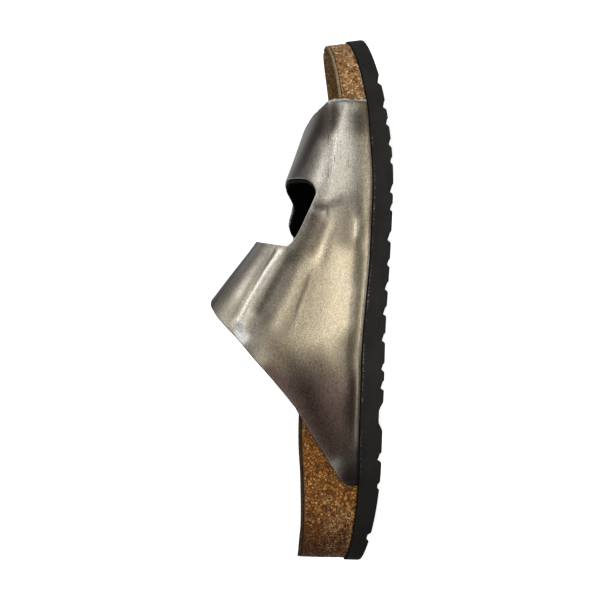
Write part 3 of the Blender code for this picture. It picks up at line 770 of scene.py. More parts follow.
def suede_insole(finish):
    """Rings over the top of the cork, and back under it: a lining with a rounded, worn edge."""
    top = bed_top(np.linspace(0, 1, BED_RIBS) ** RIB_BUNCHING)
    under, over = top.copy(), top.copy()
    apart = np.linalg.norm(top[..., :2] - top[:1, :, :2], axis=-1)
    nap = NAP_HEIGHT * soft_noise(top, NAP_SIZE, seed=8)
    nap = nap + DENT_HEIGHT * soft_noise(top, DENT_SIZE, seed=9)
    under[..., 2] += GAP
    over[..., 2] += GAP + LINING - edge_roll(apart) + np.minimum(nap * smooth(apart, *DENT_EDGE), 0)
    rings = np.concatenate([under[::-1], over])
    attributes = {
        "edge_gap": np.concatenate([0 * apart, apart]),
        "toe": smooth(rings[..., 0], *TOE_PALER),
    }
    obj = ring_piece("suede_insole", rings, finish, attributes)
    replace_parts(obj, "insole")


def upper_face(x, over):
    """Outer face of the upper: upright walls beside the footbed, then an elliptic arch to the crest."""
    x, over = np.broadcast_arrays(np.asarray(x, float), np.asarray(over, float))
    inner = over <= 1
    climb = np.where(inner, over, 2 - over)
    base = sole_top(x) + GAP
    foot_y = np.where(inner, edge(x, MEDIAL, -OVERHANG), edge(x, LATERAL, -OVERHANG))
    rim = np.where(inner, FOOTBED.at("rim_medial", x), FOOTBED.at("rim_lateral", x))
    spring = base + rim + SPRING_ABOVE_RIM
    crest_y, crest_z = INSTEP.at("crest_y", x), INSTEP.at("crest_z", x)
    wall = np.clip(climb / WALL_SHARE, 0, 1)
    turn = np.clip((climb - WALL_SHARE) / (1 - WALL_SHARE), 0, 1) * math.pi / 2
    y = crest_y + (foot_y - crest_y) * np.cos(turn)
    z = base + (spring - base) * wall + (crest_z - spring) * np.sin(turn)
    return np.stack([x, y, z], -1)


def upper_frame(x, over):
    """Point, lengthwise and downward tangents, and outward normal of the upper's outer face."""
    point = upper_face(x, over)
    lengthwise = upper_face(x + TANGENT_X, over) - upper_face(x - TANGENT_X, over)
    downward = upper_face(x, over + TANGENT_OVER) - upper_face(x, over - TANGENT_OVER)
    normal = unit(np.cross(lengthwise, downward))
    downward = unit(downward)
    return point, np.cross(downward, normal), downward, normal


def upper_columns(pitch, steps):
    """Places over the arch, at most pitch apart, with at least steps between the cut-out's rows."""
    stops = np.concatenate([[0.0], NOTCH.key, [2.0]])
    spans = [
        np.linspace(low, high, max(steps, math.ceil((high - low) / pitch)) + 1)[:-1]
        for low, high in zip(stops[:-1], stops[1:])
    ]
    return np.concatenate([*spans, [2.0]])


def strip_stations(start, stop, count):
    """x of a strip's rows: a few close to each of its ends, the others evenly between them."""
    ends = np.array(EDGE_ROWS)
    even = np.linspace(0, 1, count)[1:-1, None]
    first = start[None, :] + ends[:, None]
    last = stop[None, :] - ends[::-1, None]
    return np.concatenate([first, first[-1] + (last[0] - first[-1]) * even, last])


def cut_lines():
    """The cut edges of the upper as lines of points: rear edge, front edge and the cut-out's rim."""
    over = np.linspace(0, 2, CUT_STEPS)
    turn = np.linspace(0, math.pi, RIM_STEPS)
    first, last = NOTCH.key[0], NOTCH.key[-1]
    around = (first + last) / 2 - (last - first) / 2 * np.cos(turn)
    rear = upper_face(CUT.at("rear_x", over), over)
    front = upper_face(CUT.at("front_x", over), over)
    rim = np.concatenate(
        [
            upper_face(NOTCH.at("rear_x", around), around),
            upper_face(NOTCH.at("front_x", around), around)[::-1],
        ]
    )
    return {"rear": rear, "front": front, "rim": rim}


def strokes(points, rows):
    """For each row of a table: its amount, and a bell over the distance from its line, with faded ends."""
    for _, places, amount, width, fade in rows:
        flat = smooth_line(np.array(places) * (1, OVER_MM), STROKE_STEPS) / (1, OVER_MM)
        apart, share = line_distance(points, upper_face(flat[:, 0], flat[:, 1]))
        ends = smooth(share, 0, fade) * smooth(1 - share, 0, fade) if fade else 1.0
        yield amount, np.exp(-((apart / width) ** 2)) * ends


def crease_height(points):
    """Sum of the listed creases, in millimetres."""
    return sum(amount * bell for amount, bell in strokes(points, CREASES))


def scuff_share(points):
    """How scuffed the foil is, from 0 to about 1."""
    return sum(amount * bell for amount, bell in strokes(points, SCUFFS))


def foil_tone(points):
    """Tone in stops, worn tones with painted highlights and painted shade: each stroke is painted over those
    before it, as far as its bell covers them.
    """
    tone = np.zeros(points.shape[:-1])
    for level, bell in strokes(points, FOIL_TONES_AND_PAINTED_LIGHT):
        tone += (level - tone) * bell
    return tone


def warmth(x, over):
    """Share of the warm tint: full at the rear, weaker towards the crest, and along the sole."""
    rear = smooth(x, *WARM_REAR) * (1 - WARM_CREST_LOSS * smooth(over, *WARM_CREST))
    return np.maximum(rear, smooth(over, *WARM_FOOT)) * smooth(x, *WARM_TIP)


def plum_stain(x, over):
    """Share of the plum tint, a hue over the lower side where its painted shade is darkest: above the seam,
    weaker on the outer side.
    """
    lower = smooth(x, *PLUM_FRONT) * smooth(x, *PLUM_TIP) * smooth(over, *PLUM_FOOT)
    return lower * (1 - PLUM_OUTER_LOSS * smooth(over, *PLUM_OUTER))


def upper_layer(name, columns, rows, depth, thickness, finishes, beyond=0.0):
    """One layer of the upper's wall, as two strips of rows that meet below the cut-out.

    Its outer face lies depth below the upper's outer face, follows the creases, rolls over at the cut
    edges and tucks in at the seam with the sole. It reaches beyond the front strap's edge into the cut-out.
    Solidify gives it its thickness, inwards.
    """
    over = upper_columns(*columns)
    beyond = beyond * smooth(NOTCH.at("front_x", over) - NOTCH.at("rear_x", over), *BEYOND_FROM_WIDTH)
    strips = (
        (CUT.at("rear_x", over), NOTCH.at("rear_x", over), rows[0]),
        (NOTCH.at("front_x", over) - beyond, CUT.at("front_x", over), rows[1]),
    )
    points, faces, first = [], [], 0
    for start, stop, count in strips:
        x = strip_stations(start, stop, count)
        places = np.broadcast_to(over, x.shape)
        points.append(np.stack([x, places], -1).reshape(-1, 2))
        faces.append(first + grid_faces(*x.shape, closed=False))
        first += x.size
    x, places = np.concatenate(points).T
    point, lengthwise, _, normal = upper_frame(x, places)
    gaps = {side: line_distance(point, line)[0] for side, line in cut_lines().items()}
    roll = edge_roll(np.minimum(np.minimum(gaps["rear"], gaps["front"]), gaps["rim"]))
    above_seam = point[:, 2] - sole_top(x) - GAP
    tuck = SEAM_TUCK * np.clip(1 - above_seam / SEAM_TUCK_HEIGHT, 0, 1) ** 2
    lift = crease_height(point) + LEATHER_LUMP_HEIGHT * soft_noise(point, LEATHER_LUMP, seed=3)
    held = smooth(np.minimum(gaps["front"], gaps["rim"]), 0, EDGE_HELD)
    ragged = FRAY * soft_noise(point, FRAY_SIZE, seed=12) * smooth(gaps["front"], EDGE_HELD, 0)
    attributes = {
        "front_gap": gaps["front"],
        "rear_gap": gaps["rear"],
        "rim_gap": gaps["rim"],
        "above_seam": above_seam,
        # tone holds the foil's worn tones together with painted highlights and painted shade
        "tone": foil_tone(point),
        "scuff": scuff_share(point),
        "warm": warmth(x, places),
        "plum": plum_stain(x, places),
    }
    point = point + normal * (lift * held - depth - roll - tuck)[:, None]
    point = point + lengthwise * ragged[:, None]
    obj = piece(name, point, np.concatenate(faces), finishes, attributes)
    wall = obj.modifiers.new("wall", "SOLIDIFY")
    wall.thickness = thickness * MM
    wall.offset = -1
    wall.material_offset_rim = len(finishes) - 1
    return obj


def leather_upper(leather, cut_edge):
    """The skin of the upper, with its cut edges in their own finish."""
    obj = upper_layer("leather_upper", SKIN_COLUMNS, SKIN_ROWS, 0.0, SKIN, [leather, cut_edge])
    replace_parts(obj, "upper")


def strap_lining(suede):
    """The suede under the skin, down to the wall's inner face."""
    depth = SKIN + LINING_CLEAR
    thickness = WALL - depth
    obj = upper_layer(
        "strap_lining", LINING_COLUMNS, LINING_ROWS, depth, thickness, [suede], LINING_BEYOND
    )


def strap_middle(strap, share):
    """x and place over the arch of a strap end's middle line, at a share of its length."""
    x = strap["x"] + share * (strap["tip_x"] - strap["x"])
    return x, strap["start"] + share * (strap["tip"] - strap["start"])


def buckle_place(strap):
    """x and place over the arch of a strap's buckle."""
    return strap_middle(strap, (strap["buckle"] - strap["start"]) / (strap["tip"] - strap["start"]))


def strap_end(name, strap, leather):
    """A flat band carried along the strap's middle line, with round edges and a round tip.

    Round each section the top runs across the strap, drops over its edge and comes back underneath.
    Holes are punched along its middle as round dips.
    """
    share = 1 - (1 - np.linspace(0, 1, STRAP_ROWS)) ** STRAP_BUNCHING
    across = np.sin(np.linspace(-1, 1, STRAP_ACROSS) * math.pi / 2)
    middle, over = strap_middle(strap, share)
    half = strap["half"] + STRAP_END.at("narrowing", share) * (strap["tip_half"] - strap["half"])
    length = np.linalg.norm(np.diff(upper_face(middle, over), axis=0), axis=1).sum()
    half = half * quarter_round((1 - share) * length / strap["tip_half"])
    x = middle[:, None] + across[None, :] * half[:, None]
    places = np.broadcast_to(over[:, None], x.shape)
    point, _, _, normal = upper_frame(x, places)
    side_gap = half[:, None] * (1 - np.abs(across))[None, :]
    rise = STRAP_RISE * STRAP_END.at("rise", share)[:, None]
    hole_x, hole_over = buckle_place(strap)
    dips = np.zeros(x.shape)
    for step in HOLE_STEPS:
        hole = upper_face(hole_x, hole_over + step * HOLE_PITCH / OVER_MM)
        apart = np.linalg.norm(point - hole, axis=-1)
        dips = np.maximum(dips, 1 - smooth(apart, HOLE_RADIUS * HOLE_SHOULDER, HOLE_RADIUS))
    top = point + normal * (rise - edge_roll(side_gap) - HOLE_DEPTH * dips)[..., None]
    low = point + normal * np.minimum(STRAP_CLEAR, rise - STRAP_LEAST)[..., None]
    rings = np.concatenate([top, low[:, ::-1]], axis=1)
    edge_gap = np.concatenate([side_gap, 0 * side_gap], axis=1)
    attributes = {
        "rear_gap": edge_gap,
        "front_gap": NO_EDGE_NEAR + edge_gap,
        "rim_gap": NO_EDGE_NEAR + edge_gap,
        "above_seam": NO_EDGE_NEAR + edge_gap,
        "warm": np.full(edge_gap.shape, STRAP_WARMTH),
        "hole": np.concatenate([dips, 0 * dips], axis=1),
    }
    obj = ring_piece(name, rings, leather, attributes)


def buckle_matrix(strap):
    """Frame of a buckle: local x towards the heel, local y up the strap, local z off the upper."""
    point, lengthwise, downward, normal = upper_frame(*buckle_place(strap))
    return point, np.stack([-lengthwise, -downward, normal])


def tube(path, radius, across, ring):
    """Rings of a profile carried along a path; across are the profile's two axes at each point.

    The profile is an ellipse filled out towards a box: its cosine and sine are raised to a power below 1.
    """
    turn = np.linspace(0, 2 * math.pi, ring, endpoint=False)
    wave = np.stack([np.cos(turn), np.sin(turn)])
    wave = np.sign(wave) * np.abs(wave) ** SECTION_POWER
    first, second = across
    return (
        path[:, None, :]
        + first[:, None, :] * (radius[:, 0, None] * wave[0])[..., None]
        + second[:, None, :] * (radius[:, 1, None] * wave[1])[..., None]
    )


def buckle(name, strap, metal):
    """A flattened round bar carried round a box with round corners."""
    origin, axes = buckle_matrix(strap)
    turn = np.linspace(0, 2 * math.pi, FRAME_STEPS, endpoint=False) + math.pi / 4
    corner = FRAME_CORNER - FRAME_BAR / 2
    reach = np.array([FRAME_ACROSS, FRAME_ALONG]) / 2 - FRAME_BAR / 2 - corner
    spot = np.stack([np.cos(turn), np.sin(turn)], -1)
    box = np.clip(spot * FRAME_SQUARING, -1, 1)
    at_corner = (np.abs(box) >= 1).all(1)[:, None]
    out = unit(np.where(at_corner, spot, spot * np.abs(spot) ** FRAME_BLEND))
    height = np.full(len(turn), strap["lift"] + FRAME_THICK / 2)
    path = origin + np.column_stack([reach * box + corner * out, height]) @ axes
    sideways = np.column_stack([out, np.zeros(len(turn))]) @ axes
    upward = np.broadcast_to(axes[2], sideways.shape)
    radius = np.broadcast_to([FRAME_BAR / 2, FRAME_THICK / 2], (len(turn), 2))
    rings = tube(path, radius, (sideways, upward), FRAME_RING)
    obj = ring_piece(name, np.concatenate([rings, rings[:1]]), metal)
    return obj


def pin(name, strap, metal):
    """A tapered round pin carried along its route: off the strap, then up on to the frame's upper bar."""
    origin, axes = buckle_matrix(strap)
    low = STRAP_RISE + GAP + PRONG_RADIUS
    high = strap["lift"] + FRAME_THICK + GAP + PRONG_RADIUS
    bar = (FRAME_ALONG - FRAME_BAR) / 2
    route = (
        (0, -PRONG_TAIL, low),
        (0, PRONG_TAIL, low + 0.1),
        (0, bar - 2.6, high - 0.35),
        (0, bar - 0.8, high - 0.3),
        (0, bar + PRONG_TIP_PAST, high - PRONG_RADIUS + PRONG_TIP_RADIUS),
    )
    path = origin + smooth_line(route, PRONG_STEPS) @ axes
    sideways = np.broadcast_to(axes[0], path.shape)
    upward = np.cross(sideways, unit(np.gradient(path, axis=0)))
    step = np.arange(PRONG_STEPS)
    taper = np.linspace(PRONG_RADIUS, PRONG_TIP_RADIUS, PRONG_STEPS)
    size = taper * quarter_round(np.minimum(step, step[::-1]) / PRONG_END_STEPS)
    rings = tube(path, np.column_stack([size, size]), (sideways, upward), PRONG_RING)
    obj = ring_piece(name, rings, metal)
    return obj


class Value:
    """An output socket in a shader, with arithmetic that adds Math nodes."""

    def __init__(self, finish, socket):
        self.finish, self.socket = finish, socket

    def __add__(self, other):
        return self.finish.maths("ADD", self, other)

    __radd__ = __add__

    def __sub__(self, other):
        return self.finish.maths("SUBTRACT", self, other)

    def __rsub__(self, other):
        return self.finish.maths("SUBTRACT", other, self)

    def __mul__(self, other):
        return self.finish.maths("MULTIPLY", self, other)

    __rmul__ = __mul__

    def __truediv__(self, other):
        return self.finish.maths("DIVIDE", self, other)


class Finish:
    """A material: its Principled shader, and one method that adds any node."""

    def __init__(self, name):
        self.material = bpy.data.materials.new(name)
        self.material.use_nodes = True
        self.tree = self.material.node_tree
        self.shader = self.tree.nodes["Principled BSDF"]
        self.place = self.node("ShaderNodeTexCoord", out="Object")

    def node(self, kind, settings=None, sockets=None, out=0):
        """Adds a node: settings first, then the values or links of its sockets."""
        node = self.tree.nodes.new(kind)
        for name, value in (settings or {}).items():
            if name == "stops":
                self.set_stops(node.color_ramp, value)
            else:
                setattr(node, name, value)
        for name, value in (sockets or {}).items():
            self.set(node.inputs[name], value)
        return Value(self, node.outputs[out])

    def set(self, socket, value):
        """Links a socket, or sets its constant."""
        if isinstance(value, Value):
            self.tree.links.new(value.socket, socket)
        else:
            socket.default_value = value

    @staticmethod
    def set_stops(ramp, stops):
        while len(ramp.elements) < len(stops):
            ramp.elements.new(0.5)
        for element, (at, colour) in zip(ramp.elements, stops):
            element.position, element.color = at, (*colour, 1.0)

    def shade(self, **sockets):
        """Sets the shader's sockets by name, with _ for a space."""
        for name, value in sockets.items():
            socket = self.shader.inputs[name.replace("_", " ").title().replace("Ior", "IOR")]
            self.set(socket, (*value, 1.0) if isinstance(value, tuple) else value)
        return self.material

    def maths(self, operation, first, second):
        return self.node("ShaderNodeMath", {"operation": operation}, {0: first, 1: second})

    def step(self, value, low, high):
        """0 below low, 1 above high, with a soft S between them."""
        return self.node(
            "ShaderNodeMapRange",
            {"interpolation_type": "SMOOTHSTEP"},
            {"Value": value, "From Min": low, "From Max": high},
        )

    def attribute(self, name):
        """A number stored on the piece's points."""
        return self.node("ShaderNodeAttribute", {"attribute_name": name}, out="Fac")

    def stretched(self, scale):
        """Object coordinates, scaled along each axis: below 1 draws a pattern out."""
        return self.node("ShaderNodeMapping", None, {"Vector": self.place, "Scale": scale})

    def noise(self, per_mm, detail=2.0, rough=0.5, place=None):
        """Soft noise with about per_mm waves to a millimetre, around 0.5."""
        return self.node(
            "ShaderNodeTexNoise",
            None,
            {"Vector": place or self.place, "Scale": per_mm / MM, "Detail": detail, "Roughness": rough},
            out="Fac",
        )

    def cells(self, per_mm, feature="F1", out="Distance", place=None):
        """Scattered cells, about per_mm to a millimetre."""
        return self.node(
            "ShaderNodeTexVoronoi",
            {"feature": feature},
            {"Vector": place or self.place, "Scale": per_mm / MM},
            out=out,
        )

    def part(self, colour, channel):
        """One channel of a colour."""
        return self.node("ShaderNodeSeparateColor", None, {"Color": colour}, out=channel)

    def mix(self, share, first, second, blend="MIX"):
        """Colour between first and second, or between first and their blend."""
        colours = [(*c, 1.0) if isinstance(c, tuple) else c for c in (first, second)]
        return self.node(
            "ShaderNodeMix",
            {"data_type": "RGBA", "blend_type": blend},
            {0: share, 6: colours[0], 7: colours[1]},
            out=2,
        )

    def tinted(self, colour, tint):
        """Colour times tint."""
        return self.mix(1.0, colour, tint, "MULTIPLY")

    def ramp(self, value, *stops):
        """Colours along a value, each stop a place and a colour."""
        return self.node("ShaderNodeValToRGB", {"stops": stops}, {"Fac": value}, out="Color")

    def bump(self, height, mm, normal=None):
        """Normal of a surface raised by height, which is in millimetres times mm."""
        sockets = {"Height": height, "Strength": 1.0, "Distance": mm * MM}
        if normal:
            sockets["Normal"] = normal
        return self.node("ShaderNodeBump", None, sockets, out="Normal")


def pewter_leather():
    """Metallic foil on leather: worn tones with painted highlights and painted shade, fine sparkling grain,
    scratches, and paler, frayed edges.
    """
    f = Finish("pewter_leather")
    fine = f.noise(1.7, 3.0, 0.65)
    blotch = f.noise(0.07, 3.0, 0.6)
    sparkle = f.part(f.cells(2.4, out="Color"), "Red")
    streak = f.noise(2.1, 2.0, place=f.stretched((0.09, 1.0, 1.0)))
    scratch = f.step(streak, 0.59, 0.66) * f.attribute("scuff")
    # Stops of the foil: worn tones, painted highlights and painted shade from the tone attribute, with
    # random grain and streaks.
    stops = f.attribute("tone") + 0.5 * (blotch - 0.5) + 1.5 * (fine - 0.5) + 0.8 * (sparkle - 0.5)
    stops = stops + 0.4 * (streak - 0.5) - 1.8 * scratch
    foil = f.ramp(
        (stops + 4.5) / 6.5,
        (0.0, (0.012, 0.0085, 0.0072)),
        (0.23, (0.036, 0.027, 0.0225)),
        (0.46, (0.099, 0.084, 0.069)),
        (0.69, (0.27, 0.25, 0.205)),
        (0.85, (0.54, 0.50, 0.415)),
        (1.0, (0.94, 0.93, 0.91)),
    )
    tint = f.mix(f.attribute("warm"), (0.97, 1.0, 1.06), (1.05, 0.98, 0.85))
    tint = f.mix(f.attribute("plum"), tint, (1.12, 0.93, 0.92))
    colour = f.tinted(foil, tint)
    fray = 1 - f.step(f.attribute("front_gap") + 3.0 * (f.noise(0.6, 3.0) - 0.5), 0.1, 1.2)
    colour = f.mix(0.6 * fray, colour, (0.62, 0.6, 0.55))
    nibs = f.step(f.noise(0.35, 2.0), 0.57, 0.61) * (1 - f.step(f.attribute("front_gap"), 0.4, 1.1))
    colour = f.mix(0.9 * nibs, colour, (0.02, 0.018, 0.016))
    pale = 1 - f.step(f.attribute("rim_gap") + 0.3 * (fine - 0.5), 0.15, 0.65)
    colour = f.mix(0.65 * pale, colour, (0.62, 0.6, 0.54))
    # Painted shade: a near-black line along the rear cut edge and along the strap ends' sides.
    dark = 1 - f.step(f.attribute("rear_gap"), 0.1, 0.5)
    colour = f.mix(0.7 * dark, colour, (0.03, 0.027, 0.025))
    # Painted shade: a near-black band at the foot of the leather, in the gap where it meets the sole.
    seam = 1 - f.step(f.attribute("above_seam"), 0.05, 0.35)
    colour = f.mix(0.85 * seam, colour, (0.012, 0.011, 0.01))
    # Painted shade: the punched holes are near-black inside.
    hole = f.step(f.attribute("hole"), 0.3, 0.8)
    colour = f.mix(hole, colour, (0.01, 0.009, 0.008))
    rough = 0.32 + 0.12 * blotch + 0.06 * sparkle
    wrinkle = f.bump(f.noise(0.4, 2.0, place=f.stretched((1.0, 0.5, 0.5))), 0.1)
    grain = f.bump(f.cells(1.3), 0.04, f.bump(fine, 0.06, wrinkle))
    return f.shade(
        base_color=colour,
        roughness=rough,
        metallic=0.9 - 0.6 * seam - 0.5 * dark - 0.5 * pale - 0.6 * fray,
        coat_weight=0.08,
        coat_roughness=0.35,
        normal=grain,
    )


def raw_edge():
    """The cut edge of the leather: dark dyed fibres, rubbed pale round the cut-out."""
    f = Finish("raw_edge")
    fibre = f.noise(1.2, 4.0, 0.7)
    dyed = f.ramp(fibre, (0.3, (0.010, 0.0095, 0.0095)), (0.75, (0.045, 0.042, 0.040)))
    rubbed = f.ramp(fibre, (0.3, (0.16, 0.155, 0.145)), (0.7, (0.60, 0.58, 0.53)))
    colour = f.mix(f.step(f.attribute("rim_gap"), 1.2, 0.4), dyed, rubbed)
    return f.shade(base_color=colour, roughness=0.85, normal=f.bump(fibre, 0.15))


def dark_suede():
    """The lining of the straps: charcoal suede with a short nap, paler where it is cut; its near-black
    colour is partly painted shade, as inside the cut-out.
    """
    f = Finish("dark_suede")
    nap = f.noise(1.8, 4.0, 0.75)
    patch = f.noise(0.12, 2.0)
    colour = f.ramp(
        0.6 * nap + 0.4 * patch, (0.3, (0.002, 0.002, 0.0022)), (0.7, (0.008, 0.0078, 0.0085))
    )
    cut = 1 - f.step(f.attribute("rim_gap"), 1.3, 2.4)
    paler = f.ramp(nap, (0.3, (0.005, 0.005, 0.0053)), (0.7, (0.016, 0.0157, 0.0165)))
    colour = f.mix(0.9 * cut, colour, paler)
    return f.shade(
        base_color=colour, roughness=0.95, specular_ior_level=0.1, normal=f.bump(nap, 0.12)
    )


def brown_suede():
    """The footbed's lining: brown suede with a mottled nap, beige at its cut edge towards the toe and dark
    brown towards the heel.
    """
    f = Finish("brown_suede")
    nap = f.noise(0.9, 4.0, 0.75)
    patch = f.noise(0.09, 3.0, 0.6)
    colour = f.ramp(
        0.75 * nap + 0.25 * patch,
        (0.39, (0.030, 0.013, 0.003)),
        (0.5, (0.13, 0.070, 0.021)),
        (0.61, (0.38, 0.24, 0.10)),
    )
    cut = 1 - f.step(f.attribute("edge_gap") + 1.6 * (nap - 0.5), 0.5, 1.5)
    beige = f.ramp(nap, (0.35, (0.10, 0.072, 0.040)), (0.65, (0.33, 0.255, 0.155)))
    rim = f.mix(f.attribute("toe"), (0.016, 0.009, 0.005), beige)
    colour = f.mix(0.85 * cut, colour, rim)
    return f.shade(
        base_color=colour, roughness=0.95, specular_ior_level=0.1, normal=f.bump(nap, 0.15)
    )


def cork():
    """Pressed cork granules, each with its own brown, dark gaps between them and pale rubbed ones."""
    f = Finish("cork")
    warp = f.node(
        "ShaderNodeVectorMath",
        {"operation": "MULTIPLY_ADD"},
        {
            0: f.node("ShaderNodeTexNoise", None, {"Vector": f.place, "Scale": 0.5 / MM}, out="Color"),
            1: (0.9 * MM,) * 3,
            2: f.place,
        },
    )
    grain = f.part(f.cells(0.7, out="Color", place=warp), "Green")
    small = f.part(f.cells(1.6, out="Color", place=warp), "Red")
    gap = f.cells(0.7, "DISTANCE_TO_EDGE", place=warp)
    tone = 0.5 * grain + 0.35 * small + 0.7 * (f.noise(2.0, 3.0, 0.7) - 0.5) + 0.08
    brown = f.ramp(
        tone,
        (0.1, (0.055, 0.017, 0.002)),
        (0.4, (0.17, 0.062, 0.009)),
        (0.65, (0.29, 0.120, 0.022)),
        (0.95, (0.50, 0.28, 0.09)),
    )
    golden = f.ramp(
        tone,
        (0.15, (0.085, 0.034, 0.010)),
        (0.4, (0.28, 0.135, 0.046)),
        (0.65, (0.45, 0.245, 0.100)),
        (0.9, (0.72, 0.50, 0.28)),
    )
    toe, heel = f.attribute("toe"), f.attribute("heel")
    colour = f.mix(toe, brown, golden)
    seam = 1 - f.step(gap, 0.02, 0.14)
    colour = f.mix((0.85 - 0.25 * toe) * seam, colour, (0.035, 0.012, 0.003))
    pit = f.step(f.noise(0.8, 2.0) + 0.02 * toe, 0.69, 0.73)
    colour = f.mix(0.85 * pit, colour, (0.012, 0.007, 0.004))
    colour = f.tinted(colour, f.mix(heel, (1.0, 1.0, 1.0), (0.32, 0.25, 0.24)))
    worn = f.noise(0.14, 3.0) + 0.18 * f.attribute("rubbed")
    rubbed = f.step(worn, 0.57, 0.72) * f.step(small, 0.45, 0.8) * (1 - toe)
    colour = f.mix(0.33 * rubbed, colour, (0.42, 0.27, 0.14))
    foot = toe * f.step(small, 0.3, 0.6) * (1 - f.step(f.attribute("above_sole"), 0.5, 1.1))
    colour = f.mix(0.6 * foot, colour, (0.36, 0.32, 0.29))
    # Painted shade: a dark line along the top of the cork's side, in the gap under the suede lining, weaker
    # at the toe.
    rim = 1 - f.step(f.attribute("below_rim"), 0.1, 1.1)
    colour = f.mix((0.8 - 0.5 * toe) * rim, colour, (0.05, 0.03, 0.015))
    height = 0.6 * f.step(gap, 0.0, 0.25) + 0.4 * small
    return f.shade(base_color=colour, roughness=0.7, specular_ior_level=0.15, normal=f.bump(height, 0.4))


def charcoal_foam():
    """Foam rubber of the sole: matt charcoal, with scuffs and a dotted line of dust along its seam."""
    f = Finish("charcoal_foam")
    fine = f.noise(1.3, 3.0, 0.7)
    patch = f.noise(0.08, 3.0, 0.6)
    colour = f.ramp(
        0.5 * fine + 0.5 * patch, (0.3, (0.009, 0.0083, 0.0074)), (0.7, (0.020, 0.0187, 0.0165))
    )
    below = f.attribute("below_top")
    line = f.step(below, 0.55, 0.8) * (1 - f.step(below, 0.95, 1.25))
    dots = f.step(f.noise(1.6, 2.0), 0.52, 0.64) * f.step(f.noise(0.1, 2.0), 0.4, 0.54)
    colour = f.mix(0.6 * line * dots * f.attribute("dusty"), colour, (0.35, 0.34, 0.31))
    # Painted shade: near-black at the top of the sole's side, in the gap under the leather.
    colour = f.mix(0.9 * (1 - f.step(below, 0.2, 0.5)), colour, (0.002, 0.002, 0.002))
    colour = f.mix(0.8 * f.attribute("heel"), colour, (0.003, 0.0025, 0.0023))
    return f.shade(base_color=colour, roughness=0.8, specular_ior_level=0.2, normal=f.bump(fine, 0.08))


def nickel():
    """Dark nickel of the buckles, satin, with fine rubbing."""
    f = Finish("dark_nickel")
    rub = f.noise(0.7, 4.0, 0.7)
    colour = f.ramp(rub, (0.3, (0.16, 0.155, 0.15)), (0.75, (0.34, 0.33, 0.32)))
    return f.shade(base_color=colour, roughness=0.22 + 0.2 * rub, metallic=1.0, normal=f.bump(rub, 0.02))


def white_floor():
    """A pale floor with some light of its own, as on a light table."""
    f = Finish("white_floor")
    return f.shade(
        base_color=(0.85, 0.85, 0.85),
        roughness=0.9,
        emission_color=(1.0, 1.0, 1.0),
        emission_strength=0.94,
    )


def studio(white):
    """A pale floor in two halves, and a pale round wall far off.

    Only the half behind the sandal shows in its gloss, so the side towards the camera mirrors the panels.
    """
    halves = {"floor": (-FLOOR, FLOOR_SPLIT), "floor_behind": (FLOOR_SPLIT, FLOOR)}
    turn = np.linspace(0, 2 * math.pi, WALL_SIDES, endpoint=False)
    ring = np.stack([np.cos(turn), np.sin(turn), 0 * turn], -1) * BACKDROP
    wall = np.concatenate([ring, ring + (0, 0, BACKDROP_HEIGHT)])
    shapes = {
        name: ([(-FLOOR, near, 0), (FLOOR, near, 0), (FLOOR, far, 0), (-FLOOR, far, 0)], [(0, 1, 2, 3)])
        for name, (near, far) in halves.items()
    }
    shapes["backdrop"] = wall.tolist(), grid_faces(2, WALL_SIDES, closed=True).tolist()
    for name, (points, faces) in shapes.items():
        mesh = bpy.data.meshes.new(name)
        mesh.from_pydata(points, [], faces)
        mesh.materials.append(white)
        obj = added(name, mesh)
        obj.visible_glossy = name == "floor_behind"
        obj.visible_diffuse = name != "backdrop"
        obj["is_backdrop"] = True


def panel(name, place, size, radiance, colour=(1.0, 1.0, 1.0)):
    """A soft light panel turned to the sandal, as bright all over as radiance says."""
    lamp = bpy.data.lights.new(name, "AREA")
    lamp.shape = "RECTANGLE"
    lamp.size, lamp.size_y = size
    lamp.energy = radiance * math.pi * size[0] * size[1]
    lamp.color = colour
    obj = added(name, lamp)
    obj.location = place
    obj.rotation_euler = (Vector(SANDAL) - Vector(place)).to_track_quat("-Z", "Y").to_euler()


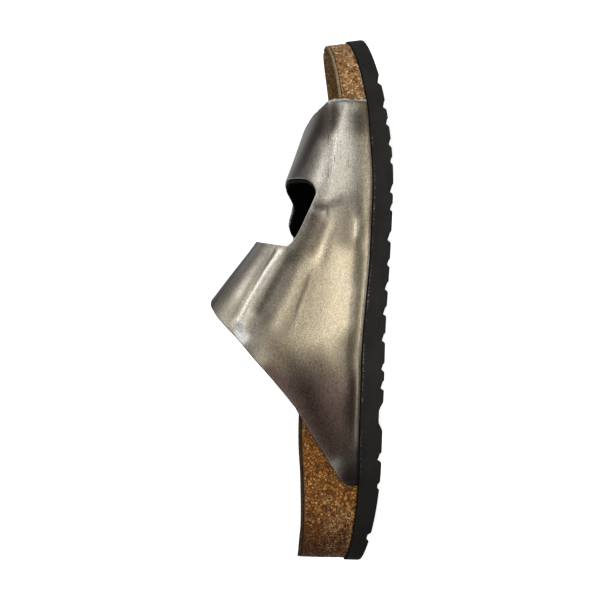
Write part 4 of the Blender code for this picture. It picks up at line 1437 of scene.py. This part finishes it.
def lights():
    """A dim room with soft panels: a broad one on the camera's side, others above, behind and at the toe."""
    scene = bpy.context.scene
    scene.view_settings.view_transform = "Standard"
    world = bpy.data.worlds.new("room")
    world.use_nodes = True
    background = world.node_tree.nodes["Background"]
    background.inputs["Color"].default_value = ROOM_COLOUR
    background.inputs["Strength"].default_value = 1.0
    scene.world = world
    panel("front_panel", (-0.35, -1.5, 0.37), (1.9, 0.72), 3.0, (1.0, 0.975, 0.93))
    panel("top_panel", (0.56, -0.39, 1.18), (1.1, 0.9), 2.4, (1.0, 0.98, 0.95))
    panel("rear_panel", (0.3, 1.3, 0.6), (1.2, 0.8), 0.5)
    panel("toe_panel", (1.6, 0.35, 0.75), (0.9, 0.8), 1.0)


def camera():
    """The photograph's camera: it looks along +Y from just above the floor, rolled toe up."""
    rise, roll = math.radians(CAMERA_ELEVATION), math.radians(CAMERA_ROLL)
    forward = Vector((0.0, math.cos(rise), -math.sin(rise)))
    toe = Vector((1.0, 0.0, 0.0))
    down = forward.cross(toe)
    up = toe * math.cos(roll) + down * math.sin(roll)
    right = down * math.cos(roll) - toe * math.sin(roll)
    view = Matrix((right, up, -forward)).transposed().to_4x4()
    view.translation = Vector(CAMERA_TARGET) - forward * CAMERA_DISTANCE
    lens = bpy.data.cameras.new("camera")
    lens.sensor_width = SENSOR
    lens.lens = SENSOR * CAMERA_DISTANCE / (MM_PER_PIXEL * MM * IMAGE_PIXELS)
    lens.clip_start = CLIP_START
    obj = added("camera", lens)
    obj.matrix_world = view
    bpy.context.scene.camera = obj


def main():
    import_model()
    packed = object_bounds()
    leather, cut_edge, metal = pewter_leather(), raw_edge(), nickel()
    foam_sole(charcoal_foam())
    cork_bed(cork())
    suede_insole(brown_suede())
    leather_upper(leather, cut_edge)
    strap_lining(dark_suede())
    for side, strap in STRAPS.items():
        strap_end(side + "_strap_end", strap, leather)
        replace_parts(buckle(side + "_buckle", strap, metal), side + "_buckle_frame")
        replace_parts(pin(side + "_pin", strap, metal), side + "_buckle_prong")
    studio(white_floor())
    lights()
    camera()
    boxes = {"packed": packed, "dressed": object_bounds()}
    {name: [list(corner) for corner in box] for name, box in boxes.items()}


main()
